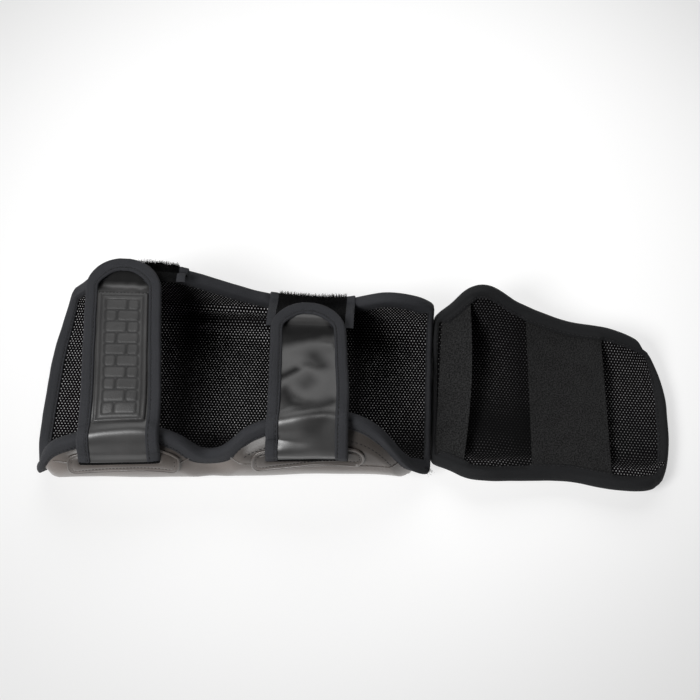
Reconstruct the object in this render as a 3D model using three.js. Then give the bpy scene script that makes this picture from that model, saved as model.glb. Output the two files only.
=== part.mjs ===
import * as THREE from "three";

const { clamp, degToRad, lerp, smoothstep } = THREE.MathUtils;

// A shin and instep guard that lies on its padded front with the hollow up. Sizes are in
// millimetres: +X runs from the knee end to the toe end, -Y is the near wall, +Z is up.

// Layers of the walls, counted outward from the hollow.
const GAP = 0.3;
const LINING = 1.2;
const EDGE_PAD = 5;
const TAPE = 1.2;
const TAPE_GAP = 0.45;
const TAPE_LEG = 9;
const SWELL_RUN = 20;

// The flat front of each trough turns into its walls over this much of the section.
const TURN_BEFORE = 8;
const TURN_AFTER = 12;

// Sections across a trough. x: station along the guard; base: half width of the flat front;
// nearAngle, farAngle: lean of the walls in degrees; near, far: length of the section from the
// middle line to each edge; middle: offset of the middle line in Y; nearSweep, farSweep: how far
// the section is swept along X at each edge; nearDrop: how far the near edge is let down.
const SECTION_COLUMNS = [
  "x",
  "base",
  "nearAngle",
  "farAngle",
  "near",
  "far",
  "middle",
  "nearSweep",
  "farSweep",
  "nearDrop",
];

const SHIN = {
  radius: 24,
  frontPad: 18,
  wallPad: 12.5,
  columns: 16,
  stations: [
    -241, -232, -223, -211, -198, -184, -169, -154, -140, -128, -116, -104, -91, -75, -55, -34, -12,
    10, 29, 45, 60, 69,
  ],
  sections: [
    [-241, 50, 88, 84, 73, 85, -3, 3, 14, 9.5],
    [-232, 49.5, 97, 87, 85, 90, -3, 2, 11, 5.6],
    [-223, 49, 103, 89, 94, 97, -3, 1, 8, 2.6],
    [-211, 48.5, 107, 91, 102, 107, -3, 0, 5, 0.8],
    [-198, 48, 110, 92, 108, 115, -3, 0, 2, 0],
    [-172, 47, 113, 92, 111, 123, -3, 0, 0, 0],
    [-142, 46, 113, 92, 110, 122, -3, 0, 0, 0],
    [-124, 45, 110, 92, 101, 116, -3, 0, 0, 0],
    [-108, 44, 106, 92, 86, 108, -3, 0, 0, 0],
    [-92, 43, 108, 92, 86, 100, -3, 0, 0, 0],
    [-72, 42, 111, 92, 105, 92, -3, 0, 0, 0],
    [-35, 41, 113, 92, 118, 86, -3, 0, 0, 0],
    [0, 40, 111, 92, 121, 88, -3, 0, 0, 0],
    [30, 39, 101, 92, 109, 99, -3, 0, 0, 2],
    [54, 39, 88, 88, 77, 94, -3, 0, 0, 8],
    [69, 39, 78, 82, 62, 84, -3, 0, -3, 9],
  ],
};

const INSTEP = {
  radius: 46,
  frontPad: 11.5,
  wallPad: 8.5,
  columns: 13,
  stations: [73, 82, 91, 101, 112, 124, 138, 155, 175, 195, 213, 229, 242, 252, 261],
  sections: [
    [73, 30, 40, 56, 49, 75, -6, 0, 0, 0],
    [85, 31, 38, 58, 54, 86, -6, 0, 0, 0],
    [100, 32, 36, 60, 64, 102, -6, 0, 0, 0],
    [114, 32, 36, 60, 67, 105, -6, 0, 0, 0],
    [140, 33, 34, 58, 61, 92, -8, 0, 0, 0],
    [180, 34, 32, 54, 56, 79, -10, 0, 0, 0],
    [215, 34, 32, 50, 61, 76, -12, 0, 0, 0],
    [240, 34, 32, 48, 60, 70, -13, -2, -4, 0],
    [252, 34, 32, 48, 57, 66, -13, -5, -9, 0],
    [261, 34, 32, 48, 53, 62, -13, -9, -15, 0],
  ],
};

// The web under the ankle that joins the two halves: a station along the guard, and its upper
// face below the tape of the shin and then below the tape of the instep.
const HINGE = { low: -33, high: 22, thickness: 2.2, stations: [61.5, 69.3, 71.2, 80.5] };

// Elastic bands drawn straight across the instep, seated on the tape along its edges. skew: how
// much further along the guard the near end sits than the far end.
const ELASTIC = 1.5;
const ELASTIC_SEAT = 4;
const ELASTIC_LIFT = 2.4;
const ELASTICS = {
  ankle_elastic: { from: 76.5, to: 98.5, skew: -3 },
  sole_elastic: { from: 149.6, to: 212.2, skew: 4.2 },
};

// Straps rise on the near wall, bend over its edge and lie across the hollow. drops: way up the
// wall, counted from its edge; anchorX, anchorDrop: middle of the patch that holds the strap;
// across: way over the hollow, as Y and Z of the underside; lean: how far it is drawn along X.
const STRAP = 2.5;
const STRAP_LEG = 8;
const STRAP_HALF = 30;
const STRAP_END_HALF = 28;
const STRAP_END_RUN = 27;
const STRAP_LIFT = 0.6;
const CALF_STRAP = {
  x: -168.8,
  lean: -9.2,
  drops: [17, 13],
  anchorX: -166.6,
  anchorDrop: 20,
  across: [
    [-48, 80],
    [0, 87.5],
    [46, 93.5],
    [70, 93],
  ],
};
const ANKLE_STRAP = {
  x: -24.8,
  lean: -4.7,
  drops: [29.5, 22, 14.5],
  anchorX: -24.5,
  anchorDrop: 30,
  across: [
    [-41, 88.5],
    [-5, 81],
    [30, 73.5],
    [49, 69.5],
  ],
};

// Patches sewn on the near wall below the straps.
const ANCHOR = 1.5;
const ANCHOR_LIFT = 0.7;
const ANCHOR_HALF_LENGTH = 43;
const ANCHOR_HALF_HEIGHT = 8;
const ANCHOR_CORNER = 7.5;
const ANCHOR_MARGIN = 12;

// The raised panel on the calf strap, from the bend over the edge to near the strap's end.
const BADGE = 1.4;
const BADGE_LIFT = 0.5;
const BADGE_BEND = 14;
const BADGE_END = 30;
const BADGE_HALF = 20;

// Loop pile tabs sewn on the far wall, over its edge and under the end of a strap. drops: way up
// the wall, counted from its edge; backs: way under the strap, counted from the strap's end.
const TAB = 2.5;
const TAB_LIFT = 0.9;
const TAB_SLACK = 0.6;
const CALF_TAB = { x: -160, half: 30, drops: [40, 29, 18], backs: [9, 16] };
const ANKLE_TAB = { x: -29, half: 34, drops: [27, 22, 16], backs: [7, 14, 20] };

// Finishes, one for each kind of cover.
const FINISH = {
  leather: { color: 0x2a2a2c, roughness: 0.55, metalness: 0 },
  gloss: { color: 0x1c1c1e, roughness: 0.38, metalness: 0 },
  mesh: { color: 0x202022, roughness: 0.85, metalness: 0 },
  tape: { color: 0x25272c, roughness: 0.8, metalness: 0 },
  elastic: { color: 0x1a1a1c, roughness: 0.9, metalness: 0 },
  pile: { color: 0x141416, roughness: 1, metalness: 0 },
};

// Evenly spread values from one end to the other, both ends included.
function spread(from, to, count) {
  return Array.from({ length: count }, (_, i) => lerp(from, to, i / (count - 1)));
}

// Values from low to high with a margin of its own at each end.
function margined(low, high, lowMargin, highMargin, count) {
  return [low, ...spread(low + lowMargin, high - highMargin, count - 2), high];
}

// Faces collected over numbered points, made into one closed mesh.
class Solid {
  constructor() {
    this.points = [];
    this.faces = [];
  }

  add(point) {
    return this.points.push(point) - 1;
  }

  quad(a, b, c, d) {
    this.faces.push([a, b, c], [a, c, d]);
  }

  // Faces between two neighbouring paths, split the same way whichever side they face.
  strip(one, two, facesOut = true) {
    for (let k = 0; k + 1 < one.length; k += 1) {
      if (facesOut) this.quad(one[k + 1], one[k], two[k], two[k + 1]);
      else this.quad(one[k + 1], two[k + 1], two[k], one[k]);
    }
  }

  // Faces over the cells of a grid of numbers, all of them or those that a test keeps.
  patch(grid, facesHollow, keep = () => true) {
    for (let i = 0; i + 1 < grid.length; i += 1) {
      for (let j = 0; j + 1 < grid[i].length; j += 1) {
        if (keep(i, j)) {
          const [corner, across] = [grid[i][j], grid[i + 1][j + 1]];
          const [next, beside] = [grid[i + 1][j], grid[i][j + 1]];
          if (facesHollow) this.quad(corner, next, across, beside);
          else this.quad(corner, beside, across, next);
        }
      }
    }
  }

  volume() {
    return this.faces.reduce((sum, [a, b, c]) => {
      const normal = this.points[b].clone().cross(this.points[c]);
      return sum + this.points[a].dot(normal) / 6;
    }, 0);
  }

  mesh(name, finish) {
    const outward = this.volume() > 0;
    const faces = outward ? this.faces : this.faces.map((face) => [...face].reverse());
    const geometry = new THREE.BufferGeometry();
    geometry.setFromPoints(this.points);
    geometry.setIndex(faces.flat());
    geometry.computeVertexNormals();
    const made = new THREE.Mesh(geometry, new THREE.MeshStandardMaterial(finish));
    made.name = name;
    return made;
  }
}

// A half of the guard: a flat front that bends up into two walls.
class Trough {
  constructor({ radius, frontPad, wallPad, columns, stations, sections }) {
    Object.assign(this, { radius, frontPad, wallPad, columns, stations });
    this.start = stations[0];
    this.end = stations.at(-1);
    this.lift = LINING + GAP + frontPad;
    this.curve = new THREE.CubicInterpolant(
      sections.map((row) => row[0]),
      sections.flatMap((row) => row.slice(1)),
      SECTION_COLUMNS.length - 1,
    );
  }

  // The named columns of the table at any station.
  section(x) {
    const values = this.curve.evaluate(x);
    return Object.fromEntries(SECTION_COLUMNS.slice(1).map((name, i) => [name, values[i]]));
  }

  // A point at length s round the section and depth h below the face of the lining.
  place(x, s, h) {
    const cut = this.section(x);
    const length = Math.abs(s);
    const lean = degToRad(s < 0 ? cut.nearAngle : cut.farAngle);
    const bend = clamp((length - cut.base) / this.radius, 0, lean);
    const rise = Math.max(length - cut.base - this.radius * lean, 0);
    const reach = this.radius + h;
    const y = Math.min(length, cut.base) + reach * Math.sin(bend) + rise * Math.cos(bend);
    const z = this.radius - reach * Math.cos(bend) + rise * Math.sin(bend);
    const sweep = s < 0 ? cut.nearSweep : cut.farSweep;
    const swept = x + sweep * (length / (s < 0 ? cut.near : cut.far)) ** 3;
    const past = s < 0 ? Math.max(length - cut.base, 0) / (cut.near - cut.base) : 0;
    const height = this.lift + z - cut.nearDrop * past ** 2;
    return new THREE.Vector3(swept, cut.middle + Math.sign(s) * y, height);
  }

  // Depth of the leather face: thin under the tape, swelling to the full padding.
  outer(x, s) {
    const cut = this.section(x);
    const length = Math.abs(s);
    const room = Math.min(x - this.start, this.end - x, (s < 0 ? cut.near : cut.far) - length);
    const swell = Math.sin((clamp((room - TAPE_LEG) / SWELL_RUN, 0, 1) * Math.PI) / 2);
    const turn = smoothstep(length, cut.base - TURN_BEFORE, cut.base + TURN_AFTER);
    const full = lerp(this.frontPad, this.wallPad, turn);
    return LINING + GAP + lerp(EDGE_PAD, full, swell);
  }

  edges(x) {
    const cut = this.section(x);
    return [-cut.near, cut.far];
  }

  sheet() {
    return new Sheet(this, this.stations, (x) => this.edges(x), this.columns, TAPE_LEG);
  }
}

// A band along a curve that changes from column to column across its width.
class Band {
  constructor(x, side, pathAt) {
    Object.assign(this, { x, side, pathAt });
    this.curves = new Map();
    this.length = this.curve(0).getLength();
  }

  curve(q) {
    if (!this.curves.has(q)) {
      const points = this.pathAt(this.x + q);
      this.curves.set(q, new THREE.CatmullRomCurve3(points, false, "centripetal"));
    }
    return this.curves.get(q);
  }

  // A point at length p along the band, q across it and h above its underside.
  place(p, q, h) {
    const curve = this.curve(q);
    const u = clamp(p / this.length, 0, 1);
    const tangent = curve.getTangentAt(u).setX(0).normalize();
    const normal = new THREE.Vector3(0, this.side * tangent.z, -this.side * tangent.y);
    const past = p - u * this.length;
    return curve.getPointAt(u).addScaledVector(tangent, past).addScaledVector(normal, h);
  }
}

// A grid of pattern places over a form, with a margin along each side.
class Sheet {
  constructor(form, rows, edges, columns, leg) {
    this.form = form;
    this.cells = rows.map((row) => {
      const [low, high] = edges(row);
      const [nextLow, nextHigh] = edges(row + 1);
      const widest = 0.3 * (high - low);
      const margins = [nextLow - low, nextHigh - high].map((slope) =>
        Math.min(leg * Math.min(Math.hypot(1, slope), 1.8), widest),
      );
      return margined(low, high, ...margins, columns).map((s) => [row, s]);
    });
  }

  // Numbers of the points of the grid, each at the depth that a function gives.
  points(solid, depth) {
    return this.cells.map((row) =>
      row.map(([x, s]) => solid.add(this.form.place(x, s, depth(x, s)))),
    );
  }

  // The places round the sheet, inset by whole cells; an open walk leaves out the first row.
  walk(inset, open) {
    const first = open ? 0 : inset;
    const last = this.cells.length - 1 - inset;
    const right = this.cells[0].length - 1 - inset;
    const path = [];
    for (let i = first; i <= last; i += 1) path.push([i, inset]);
    for (let j = inset + 1; j <= right; j += 1) path.push([last, j]);
    for (let i = last - 1; i >= first; i -= 1) path.push([i, right]);
    if (!open) {
      for (let j = right - 1; j >= inset; j -= 1) path.push([first, j]);
    }
    return path;
  }
}

// The solid between two depths of a sheet.
function layer(sheet, low, high) {
  const solid = new Solid();
  const hollow = sheet.points(solid, low);
  const outside = sheet.points(solid, high);
  const rim = sheet.walk(0, false);
  solid.patch(hollow, true);
  solid.patch(outside, false);
  solid.strip(
    rim.map(([i, j]) => hollow[i][j]),
    rim.map(([i, j]) => outside[i][j]),
  );
  return solid;
}

// Tape folded round the rim of a sheet: two legs one cell wide, and a web past the edge.
function channel(sheet, high, open) {
  const solid = new Solid();
  const rim = sheet.walk(0, open);
  const tip = sheet.walk(1, open);
  const last = sheet.cells.length - 2;
  const right = sheet.cells[0].length - 2;
  const keep = (i, j) => j === 0 || j === right || i === last || (i === 0 && !open);

  // Places on the rim pushed outward in the pattern.
  const pushed = (away) => {
    const places = sheet.cells.map((row) => row.map((place) => [...place]));
    rim.forEach(([i, j], k) => {
      const before = rim[k > 0 ? k - 1 : open ? 0 : rim.length - 2];
      const after = rim[k + 1 < rim.length ? k + 1 : open ? k : 1];
      const [x0, s0] = sheet.cells[before[0]][before[1]];
      const [x1, s1] = sheet.cells[after[0]][after[1]];
      const size = Math.hypot(x1 - x0, s1 - s0);
      const [x, s] = sheet.cells[i][j];
      places[i][j] = [x + (away * (s1 - s0)) / size, s - (away * (x1 - x0)) / size];
    });
    return places;
  };

  const face = (away, depth) =>
    pushed(away).map((row, i) =>
      row.map(([x, s], j) => solid.add(sheet.form.place(x, s, depth(...sheet.cells[i][j])))),
    );

  const out = TAPE_GAP + TAPE;
  const hollowIn = face(TAPE_GAP, () => -TAPE_GAP);
  const hollowOut = face(out, () => -out);
  const outsideIn = face(TAPE_GAP, (x, s) => high(x, s) + TAPE_GAP);
  const outsideOut = face(out, (x, s) => high(x, s) + out);
  const along = (grid, path) => path.map(([i, j]) => grid[i][j]);

  solid.patch(hollowOut, true, keep);
  solid.patch(hollowIn, false, keep);
  solid.patch(outsideIn, true, keep);
  solid.patch(outsideOut, false, keep);
  solid.strip(along(hollowOut, rim), along(outsideOut, rim));
  solid.strip(along(hollowIn, rim), along(outsideIn, rim), false);
  solid.strip(along(hollowIn, tip), along(hollowOut, tip));
  solid.strip(along(outsideOut, tip), along(outsideIn, tip));
  if (open) {
    for (const [edge, inner, turned] of [
      [rim[0], tip[0], false],
      [rim.at(-1), tip.at(-1), true],
    ]) {
      const at = (grid, [i, j]) => grid[i][j];
      const [a, b, c, d] = [hollowOut, hollowIn, outsideIn, outsideOut].map((g) => at(g, edge));
      const [e, f, g, h] = [hollowOut, hollowIn, outsideIn, outsideOut].map((g) => at(g, inner));
      for (const cap of [
        [a, e, f, b],
        [a, b, c, d],
        [c, g, h, d],
      ]) {
        solid.quad(...(turned ? cap.reverse() : cap));
      }
    }
  }
  return keepUsed(solid);
}

// Drops the points that no face uses.
function keepUsed(solid) {
  const kept = new Solid();
  const numbers = new Map();
  const renumber = (old) => {
    if (!numbers.has(old)) numbers.set(old, kept.add(solid.points[old]));
    return numbers.get(old);
  };
  kept.faces = solid.faces.map((face) => face.map(renumber));
  return kept;
}

// Half width of a shape with rounded corners, at a distance from the start of its corner.
function rounded(half, corner, past) {
  const along = clamp(past / corner, 0, 0.97);
  return half - corner * (1 - Math.sqrt(1 - along * along));
}

const shin = new Trough(SHIN);
const instep = new Trough(INSTEP);

// The way of a strap at one station: up the near wall, over its edge and across the hollow.
function strapPath(x, { x: middle, drops, across, lean }) {
  const { near } = shin.section(x);
  const clear = ANCHOR_LIFT + ANCHOR + STRAP_LIFT + TAPE + TAPE_GAP + GAP;
  const wall = drops.map((drop) => {
    const s = drop - shin.section(middle).near;
    return shin.place(x, s, shin.outer(x, s) + clear);
  });
  const edge = [
    [1, 12.5],
    [-5, 9.5],
    [-7, 2],
  ].map(([drop, h]) => shin.place(x, drop - near, h));
  const [start, end] = [across[0][0], across.at(-1)[0]];
  const over = across.map(
    ([y, z]) => new THREE.Vector3(x + (lean * (y - start)) / (end - start), y, z),
  );
  return [...wall, ...edge, ...over];
}

// Stations along a strap, close together over the edge and at the rounded end.
function strapRows(band, root) {
  const straight = band.length - STRAP_END_RUN;
  return [
    ...spread(0, root - 8, 4),
    ...spread(root - 8, root + BADGE_BEND, 7).slice(1),
    ...spread(root + BADGE_BEND, straight, 6).slice(1),
    ...spread(straight, band.length - STRAP_LEG, 3).slice(1),
    band.length,
  ];
}

function strapSheet(band, root) {
  const straight = band.length - STRAP_END_RUN;
  const edges = (p) => {
    const taper = lerp(STRAP_HALF, STRAP_END_HALF, p / band.length);
    const half = rounded(taper, STRAP_END_RUN, p - straight);
    return [-half, half];
  };
  return new Sheet(band, strapRows(band, root), edges, 5, STRAP_LEG);
}

function badgeSheet(band, root) {
  const form = { place: (p, q, h) => band.place(p, q, STRAP + BADGE_LIFT + h) };
  const shown = (p) => p >= root + BADGE_BEND && p < band.length - BADGE_END;
  const rows = [...strapRows(band, root).filter(shown), band.length - BADGE_END];
  return new Sheet(form, rows, () => [-BADGE_HALF, BADGE_HALF], 4, BADGE_HALF / 2);
}

// The way of a loop tab at one station: up the far wall, over its edge and under the strap.
function tabPath(x, { drops, backs }, strap) {
  const { far } = shin.section(x);
  const wall = drops.map((drop) => {
    const s = far - drop;
    return shin.place(x, s, shin.outer(x, s) + TAB_LIFT);
  });
  const edge = [
    [8.5, 9.6],
    [0.5, 9.6],
    [-3.6, 8],
    [-4.6, 1],
  ].map(([drop, h]) => shin.place(x, far - drop, h));
  const below = -(TAPE + TAPE_GAP + TAB_SLACK + TAB);
  const under = backs.map((back) => strap.place(strap.length - back, 0, below).setX(x));
  return [...wall, ...edge, ...under];
}

function tabSheet(band, { half, drops }) {
  const bend = drops[0] - 12;
  const rows = [
    ...spread(0, bend, 4),
    ...spread(bend, bend + 28, 9).slice(1),
    ...spread(bend + 28, band.length, 4).slice(1),
  ];
  return new Sheet(band, rows, () => [-half, half], 5, half / 2);
}

function anchorSheet(x, drop) {
  const form = {
    place: (px, s, h) => shin.place(px, s, shin.outer(px, s) + ANCHOR_LIFT + h),
  };
  const straight = ANCHOR_HALF_LENGTH - ANCHOR_CORNER;
  const edges = (px) => {
    const half = rounded(ANCHOR_HALF_HEIGHT, ANCHOR_CORNER, Math.abs(px - x) - straight);
    const middle = drop - (shin.section(px).near + shin.section(x).near) / 2;
    return [Math.max(middle - half, ANCHOR_MARGIN - shin.section(px).near), middle + half];
  };
  const ends = [1, 0.86, 0.55].map((part) => straight + ANCHOR_CORNER * part);
  const rows = [...ends.map((end) => -end), ...spread(-straight, straight, 6), ...ends.reverse()];
  return new Sheet(form, rows.map((row) => x + row), edges, 5, ANCHOR_HALF_HEIGHT / 2);
}

function elasticSheet({ from, to, skew }) {
  const seat = (middle, side) => {
    const x = middle - (side * skew) / 2;
    const [low, high] = instep.edges(x);
    return instep.place(x, side < 0 ? low + ELASTIC_SEAT : high - ELASTIC_SEAT, -ELASTIC_LIFT);
  };
  const form = {
    place: (x, part, h) => {
      const [near, far] = [seat(x, -1), seat(x, 1)];
      const across = far.clone().sub(near).normalize();
      const up = new THREE.Vector3(0, -across.z, across.y).normalize();
      return near.lerp(far, part).addScaledVector(up, h);
    },
  };
  return new Sheet(form, spread(from, to, 6), () => [0, 1], 4, 0.3);
}

function hingeSheet() {
  const below = (trough) => trough.lift - (LINING + GAP + EDGE_PAD + TAPE + TAPE_GAP + GAP);
  const heights = [below(shin), below(shin), below(instep), below(instep)];
  const form = {
    place: (x, y, h) => {
      const z = heights[HINGE.stations.indexOf(x)];
      return new THREE.Vector3(x, y, z - h);
    },
  };
  return new Sheet(form, HINGE.stations, () => [HINGE.low, HINGE.high], 4, 15);
}

const none = () => 0;
const guard = new THREE.Group();
guard.name = "shin_instep_guard";

for (const [name, trough] of Object.entries({ shin, instep })) {
  const sheet = trough.sheet();
  const leather = (x, s) => trough.outer(x, s);
  guard.add(
    layer(sheet, () => LINING + GAP, leather).mesh(`${name}_pad`, FINISH.leather),
    layer(sheet, none, () => LINING).mesh(`${name}_lining`, FINISH.mesh),
    channel(sheet, leather, false).mesh(`${name}_binding`, FINISH.tape),
  );
}

guard.add(layer(hingeSheet(), none, () => HINGE.thickness).mesh("instep_hinge", FINISH.leather));
for (const [name, band] of Object.entries(ELASTICS)) {
  guard.add(layer(elasticSheet(band), none, () => ELASTIC).mesh(name, FINISH.elastic));
}

const straps = {
  calf: { ...CALF_STRAP, tab: CALF_TAB },
  ankle: { ...ANKLE_STRAP, tab: ANKLE_TAB },
};
for (const [name, strap] of Object.entries(straps)) {
  const { x, anchorX, anchorDrop, tab } = strap;
  const root = strap.drops[0];
  const band = new Band(x, -1, (column) => strapPath(column, strap));
  const pile = new Band(tab.x, 1, (column) => tabPath(column, tab, band));
  const sheet = strapSheet(band, root);
  guard.add(
    layer(sheet, none, () => STRAP).mesh(`${name}_strap`, FINISH.gloss),
    channel(sheet, () => STRAP, true).mesh(`${name}_strap_binding`, FINISH.tape),
    layer(anchorSheet(anchorX, anchorDrop), none, () => ANCHOR).mesh(
      `${name}_strap_anchor`,
      FINISH.leather,
    ),
    layer(tabSheet(pile, tab), none, () => TAB).mesh(`${name}_loop_tab`, FINISH.pile),
  );
  if (name === "calf") {
    const panel = layer(badgeSheet(band, root), none, () => BADGE);
    guard.add(panel.mesh("calf_strap_badge", FINISH.gloss));
  }
}

// The frame's origin is the middle of the outline on the floor.
const box = new THREE.Box3().setFromObject(guard);
const centre = box.getCenter(new THREE.Vector3());
for (const piece of guard.children) {
  piece.geometry.translate(-centre.x, -centre.y, -box.min.z);
}

export default guard;
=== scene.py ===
"""Looks of a shin and instep guard that lies on its padded front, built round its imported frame.

Pattern sizes are millimetres: x is a station along the guard, s a length round the section from
its middle line and h a depth outward from the face of the lining. Meshes are in metres.
"""

import logging
import math
import random
from bisect import bisect_right
from collections.abc import Callable, Sequence
from dataclasses import dataclass, field
from enum import Enum
from typing import Any, NamedTuple

import bmesh
import bpy
from mathutils import Matrix, Vector, noise


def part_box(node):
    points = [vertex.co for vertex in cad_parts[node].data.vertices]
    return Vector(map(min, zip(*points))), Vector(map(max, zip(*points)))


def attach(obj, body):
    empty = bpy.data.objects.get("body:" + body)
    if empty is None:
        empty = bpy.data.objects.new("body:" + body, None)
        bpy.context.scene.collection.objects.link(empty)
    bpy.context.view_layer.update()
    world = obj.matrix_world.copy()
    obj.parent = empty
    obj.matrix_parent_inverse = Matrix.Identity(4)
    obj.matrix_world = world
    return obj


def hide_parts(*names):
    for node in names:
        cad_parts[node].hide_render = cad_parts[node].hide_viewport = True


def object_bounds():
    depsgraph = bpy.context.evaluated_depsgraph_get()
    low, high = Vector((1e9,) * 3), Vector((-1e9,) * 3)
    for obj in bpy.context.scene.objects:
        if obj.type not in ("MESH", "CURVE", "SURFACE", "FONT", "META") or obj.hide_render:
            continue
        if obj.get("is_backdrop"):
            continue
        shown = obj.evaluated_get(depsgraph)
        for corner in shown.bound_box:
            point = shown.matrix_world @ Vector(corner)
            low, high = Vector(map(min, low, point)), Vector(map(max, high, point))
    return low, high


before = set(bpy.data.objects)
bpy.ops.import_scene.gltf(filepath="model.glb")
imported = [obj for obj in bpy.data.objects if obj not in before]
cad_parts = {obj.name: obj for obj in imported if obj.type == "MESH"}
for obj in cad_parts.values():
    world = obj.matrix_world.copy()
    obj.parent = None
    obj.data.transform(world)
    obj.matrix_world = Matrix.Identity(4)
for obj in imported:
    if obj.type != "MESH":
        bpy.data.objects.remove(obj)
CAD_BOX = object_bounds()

LOG = logging.getLogger("guard")
MM = 0.001
UV_NAME = "pattern"
# Name of the stored attribute that carries painted light and shade: painted brightness on a lining,
# painted shade on a leather.
PAINTED_SHADING_NAME = "tone"

Place = Callable[[float, float], Vector]
Colour = tuple[float, float, float]

# Layers of the walls, counted outward from the hollow.
GAP = 0.3
LINING = 1.2
EDGE_PAD = 5.0
TAPE = 1.2
TAPE_GAP = 0.45
TAPE_LEG = 9.0
SWELL_RUN = 13.0
TURN_BEFORE = 8.0
TURN_AFTER = 12.0

# Painted shade on the leather of the walls: its darkness at the rim, and the heights over which it
# sets in.
WALL_PAINTED_SHADE = 0.64
PAINTED_SHADE_RISE = (32.0, 60.0)

# The frame's origin, from the web between the two halves, whose corner is known in the pattern.
HINGE_START = 61.5
HINGE_LOW = -33.0
HINGE_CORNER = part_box("instep_hinge")[0] / MM
ORIGIN = Vector((HINGE_CORNER.x - HINGE_START, HINGE_CORNER.y - HINGE_LOW, 0.0))


class Side(Enum):
    """The two walls of the guard."""

    NEAR = -1
    FAR = 1


class Slot(Enum):
    """Material slots."""

    MATTE_LEATHER = "matte_leather"
    GLOSS_LEATHER = "gloss_leather"
    LINING_MESH = "lining_mesh"
    BINDING_TAPE = "binding_tape"
    ELASTIC_BAND = "elastic_band"
    LOOP_PILE = "loop_pile"


class Hold(Enum):
    """Ways in which a sheet is held."""

    STRETCHED = "stretched"
    FOLDED = "folded"
    LAID = "laid"


def clamp(value: float, low: float, high: float) -> float:
    """A value kept between two limits."""
    return max(low, min(high, value))


def blend(one: float, two: float, share: float) -> float:
    """The value at a share of the way from one to two."""
    return one + (two - one) * share


def ease(value: float, low: float, high: float) -> float:
    """A smooth step from 0 at low to 1 at high."""
    share = clamp((value - low) / (high - low), 0.0, 1.0)
    return share * share * (3.0 - 2.0 * share)


def hump(value: float, middle: float, width: float) -> float:
    """A smooth hump of height 1."""
    return math.exp(-(((value - middle) / width) ** 2))


def spread(low: float, high: float, count: int) -> list[float]:
    """Evenly spread values, both ends included."""
    return [blend(low, high, i / (count - 1)) for i in range(count)]


def ripple(a: float, b: float, seed: float) -> float:
    """Smooth noise from -1 to 1 over two lengths."""
    return noise.noise(Vector((a, b, seed)))


def to_row(point: Vector) -> Vector:
    """A pattern point in millimetres as a row point in metres."""
    return (point + ORIGIN) * MM


class Section(NamedTuple):
    """One cut across a half of the guard.

    base is half the flat front, the angles are the lean of the walls, near and far the lengths
    from the middle line to the edges, middle the offset of that line, the sweeps how far the edges
    are drawn along the guard, and near_drop how far the near edge is let down.
    """

    base: float
    near_angle: float
    far_angle: float
    near: float
    far: float
    middle: float
    near_sweep: float
    far_sweep: float
    near_drop: float


class SectionTable:
    """Sections that change smoothly from station to station."""

    def __init__(self, rows: Sequence[Sequence[float]]) -> None:
        """Keeps rows of a station and the columns of its section.

        Args:
            rows: Stations with their columns, in order.
        """
        self.stations = [row[0] for row in rows]
        self.values = [row[1:] for row in rows]
        self.found: dict[float, Section] = {}

    def at(self, x: float) -> Section:
        """The section at any station.

        Args:
            x: Station along the guard.

        Returns:
            The section there, or at the nearer end of the table.
        """
        if x not in self.found:
            self.found[x] = self._between(clamp(x, self.stations[0], self.stations[-1]))
        return self.found[x]

    def _between(self, x: float) -> Section:
        """The cubic between the rows on both sides of a station.

        Args:
            x: Station along the guard.

        Returns:
            The section.
        """
        last = len(self.stations) - 1
        high = int(clamp(bisect_right(self.stations, x), 1, last))
        low = high - 1
        before = low - 1 if low > 0 else high
        after = high + 1 if high < last else low
        start, stop = self.stations[low], self.stations[high]
        half = (stop - start) / 2
        first = half / (start - self.stations[before])
        second = half / (self.stations[after] - stop)
        t = (x - start) / (stop - start)
        weights = {
            "before": first * (-(t**3) + 2 * t * t - t),
            "low": (1 + first) * t**3 - (1.5 + 2 * first) * t * t + (first - 0.5) * t + 1,
            "high": -(1 + second) * t**3 + (1.5 + second) * t * t + 0.5 * t,
            "after": second * (t**3 - t * t),
        }
        rows = {"before": before, "low": low, "high": high, "after": after}
        columns = zip(*(self.values[rows[key]] for key in weights))
        return Section(*(sum(w * v for w, v in zip(weights.values(), c)) for c in columns))


class Corner(NamedTuple):
    """How an end of the pattern is rounded.

    run is its length along the guard, drop how far the edge falls over that length, and turn how
    much of a quarter circle the edge follows.
    """

    run: float
    drop: float
    turn: float

    def cut(self, room: float) -> float:
        """How much of the edge is cut away at a distance from the end."""
        past = clamp(1 - room / self.run, 0.0, 1.0) * self.turn
        return self.drop * (1 - math.sqrt(1 - past**2)) / (1 - math.sqrt(1 - self.turn**2))


ANKLE_CORNER = Corner(2.5, 1.8, 1.0)
KNEE_NEAR = Corner(12.0, 10.0, 1.0)
KNEE_FAR = Corner(14.0, 1.6, 0.9)
TOE_CORNER = Corner(14.0, 1.2, 0.9)


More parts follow.
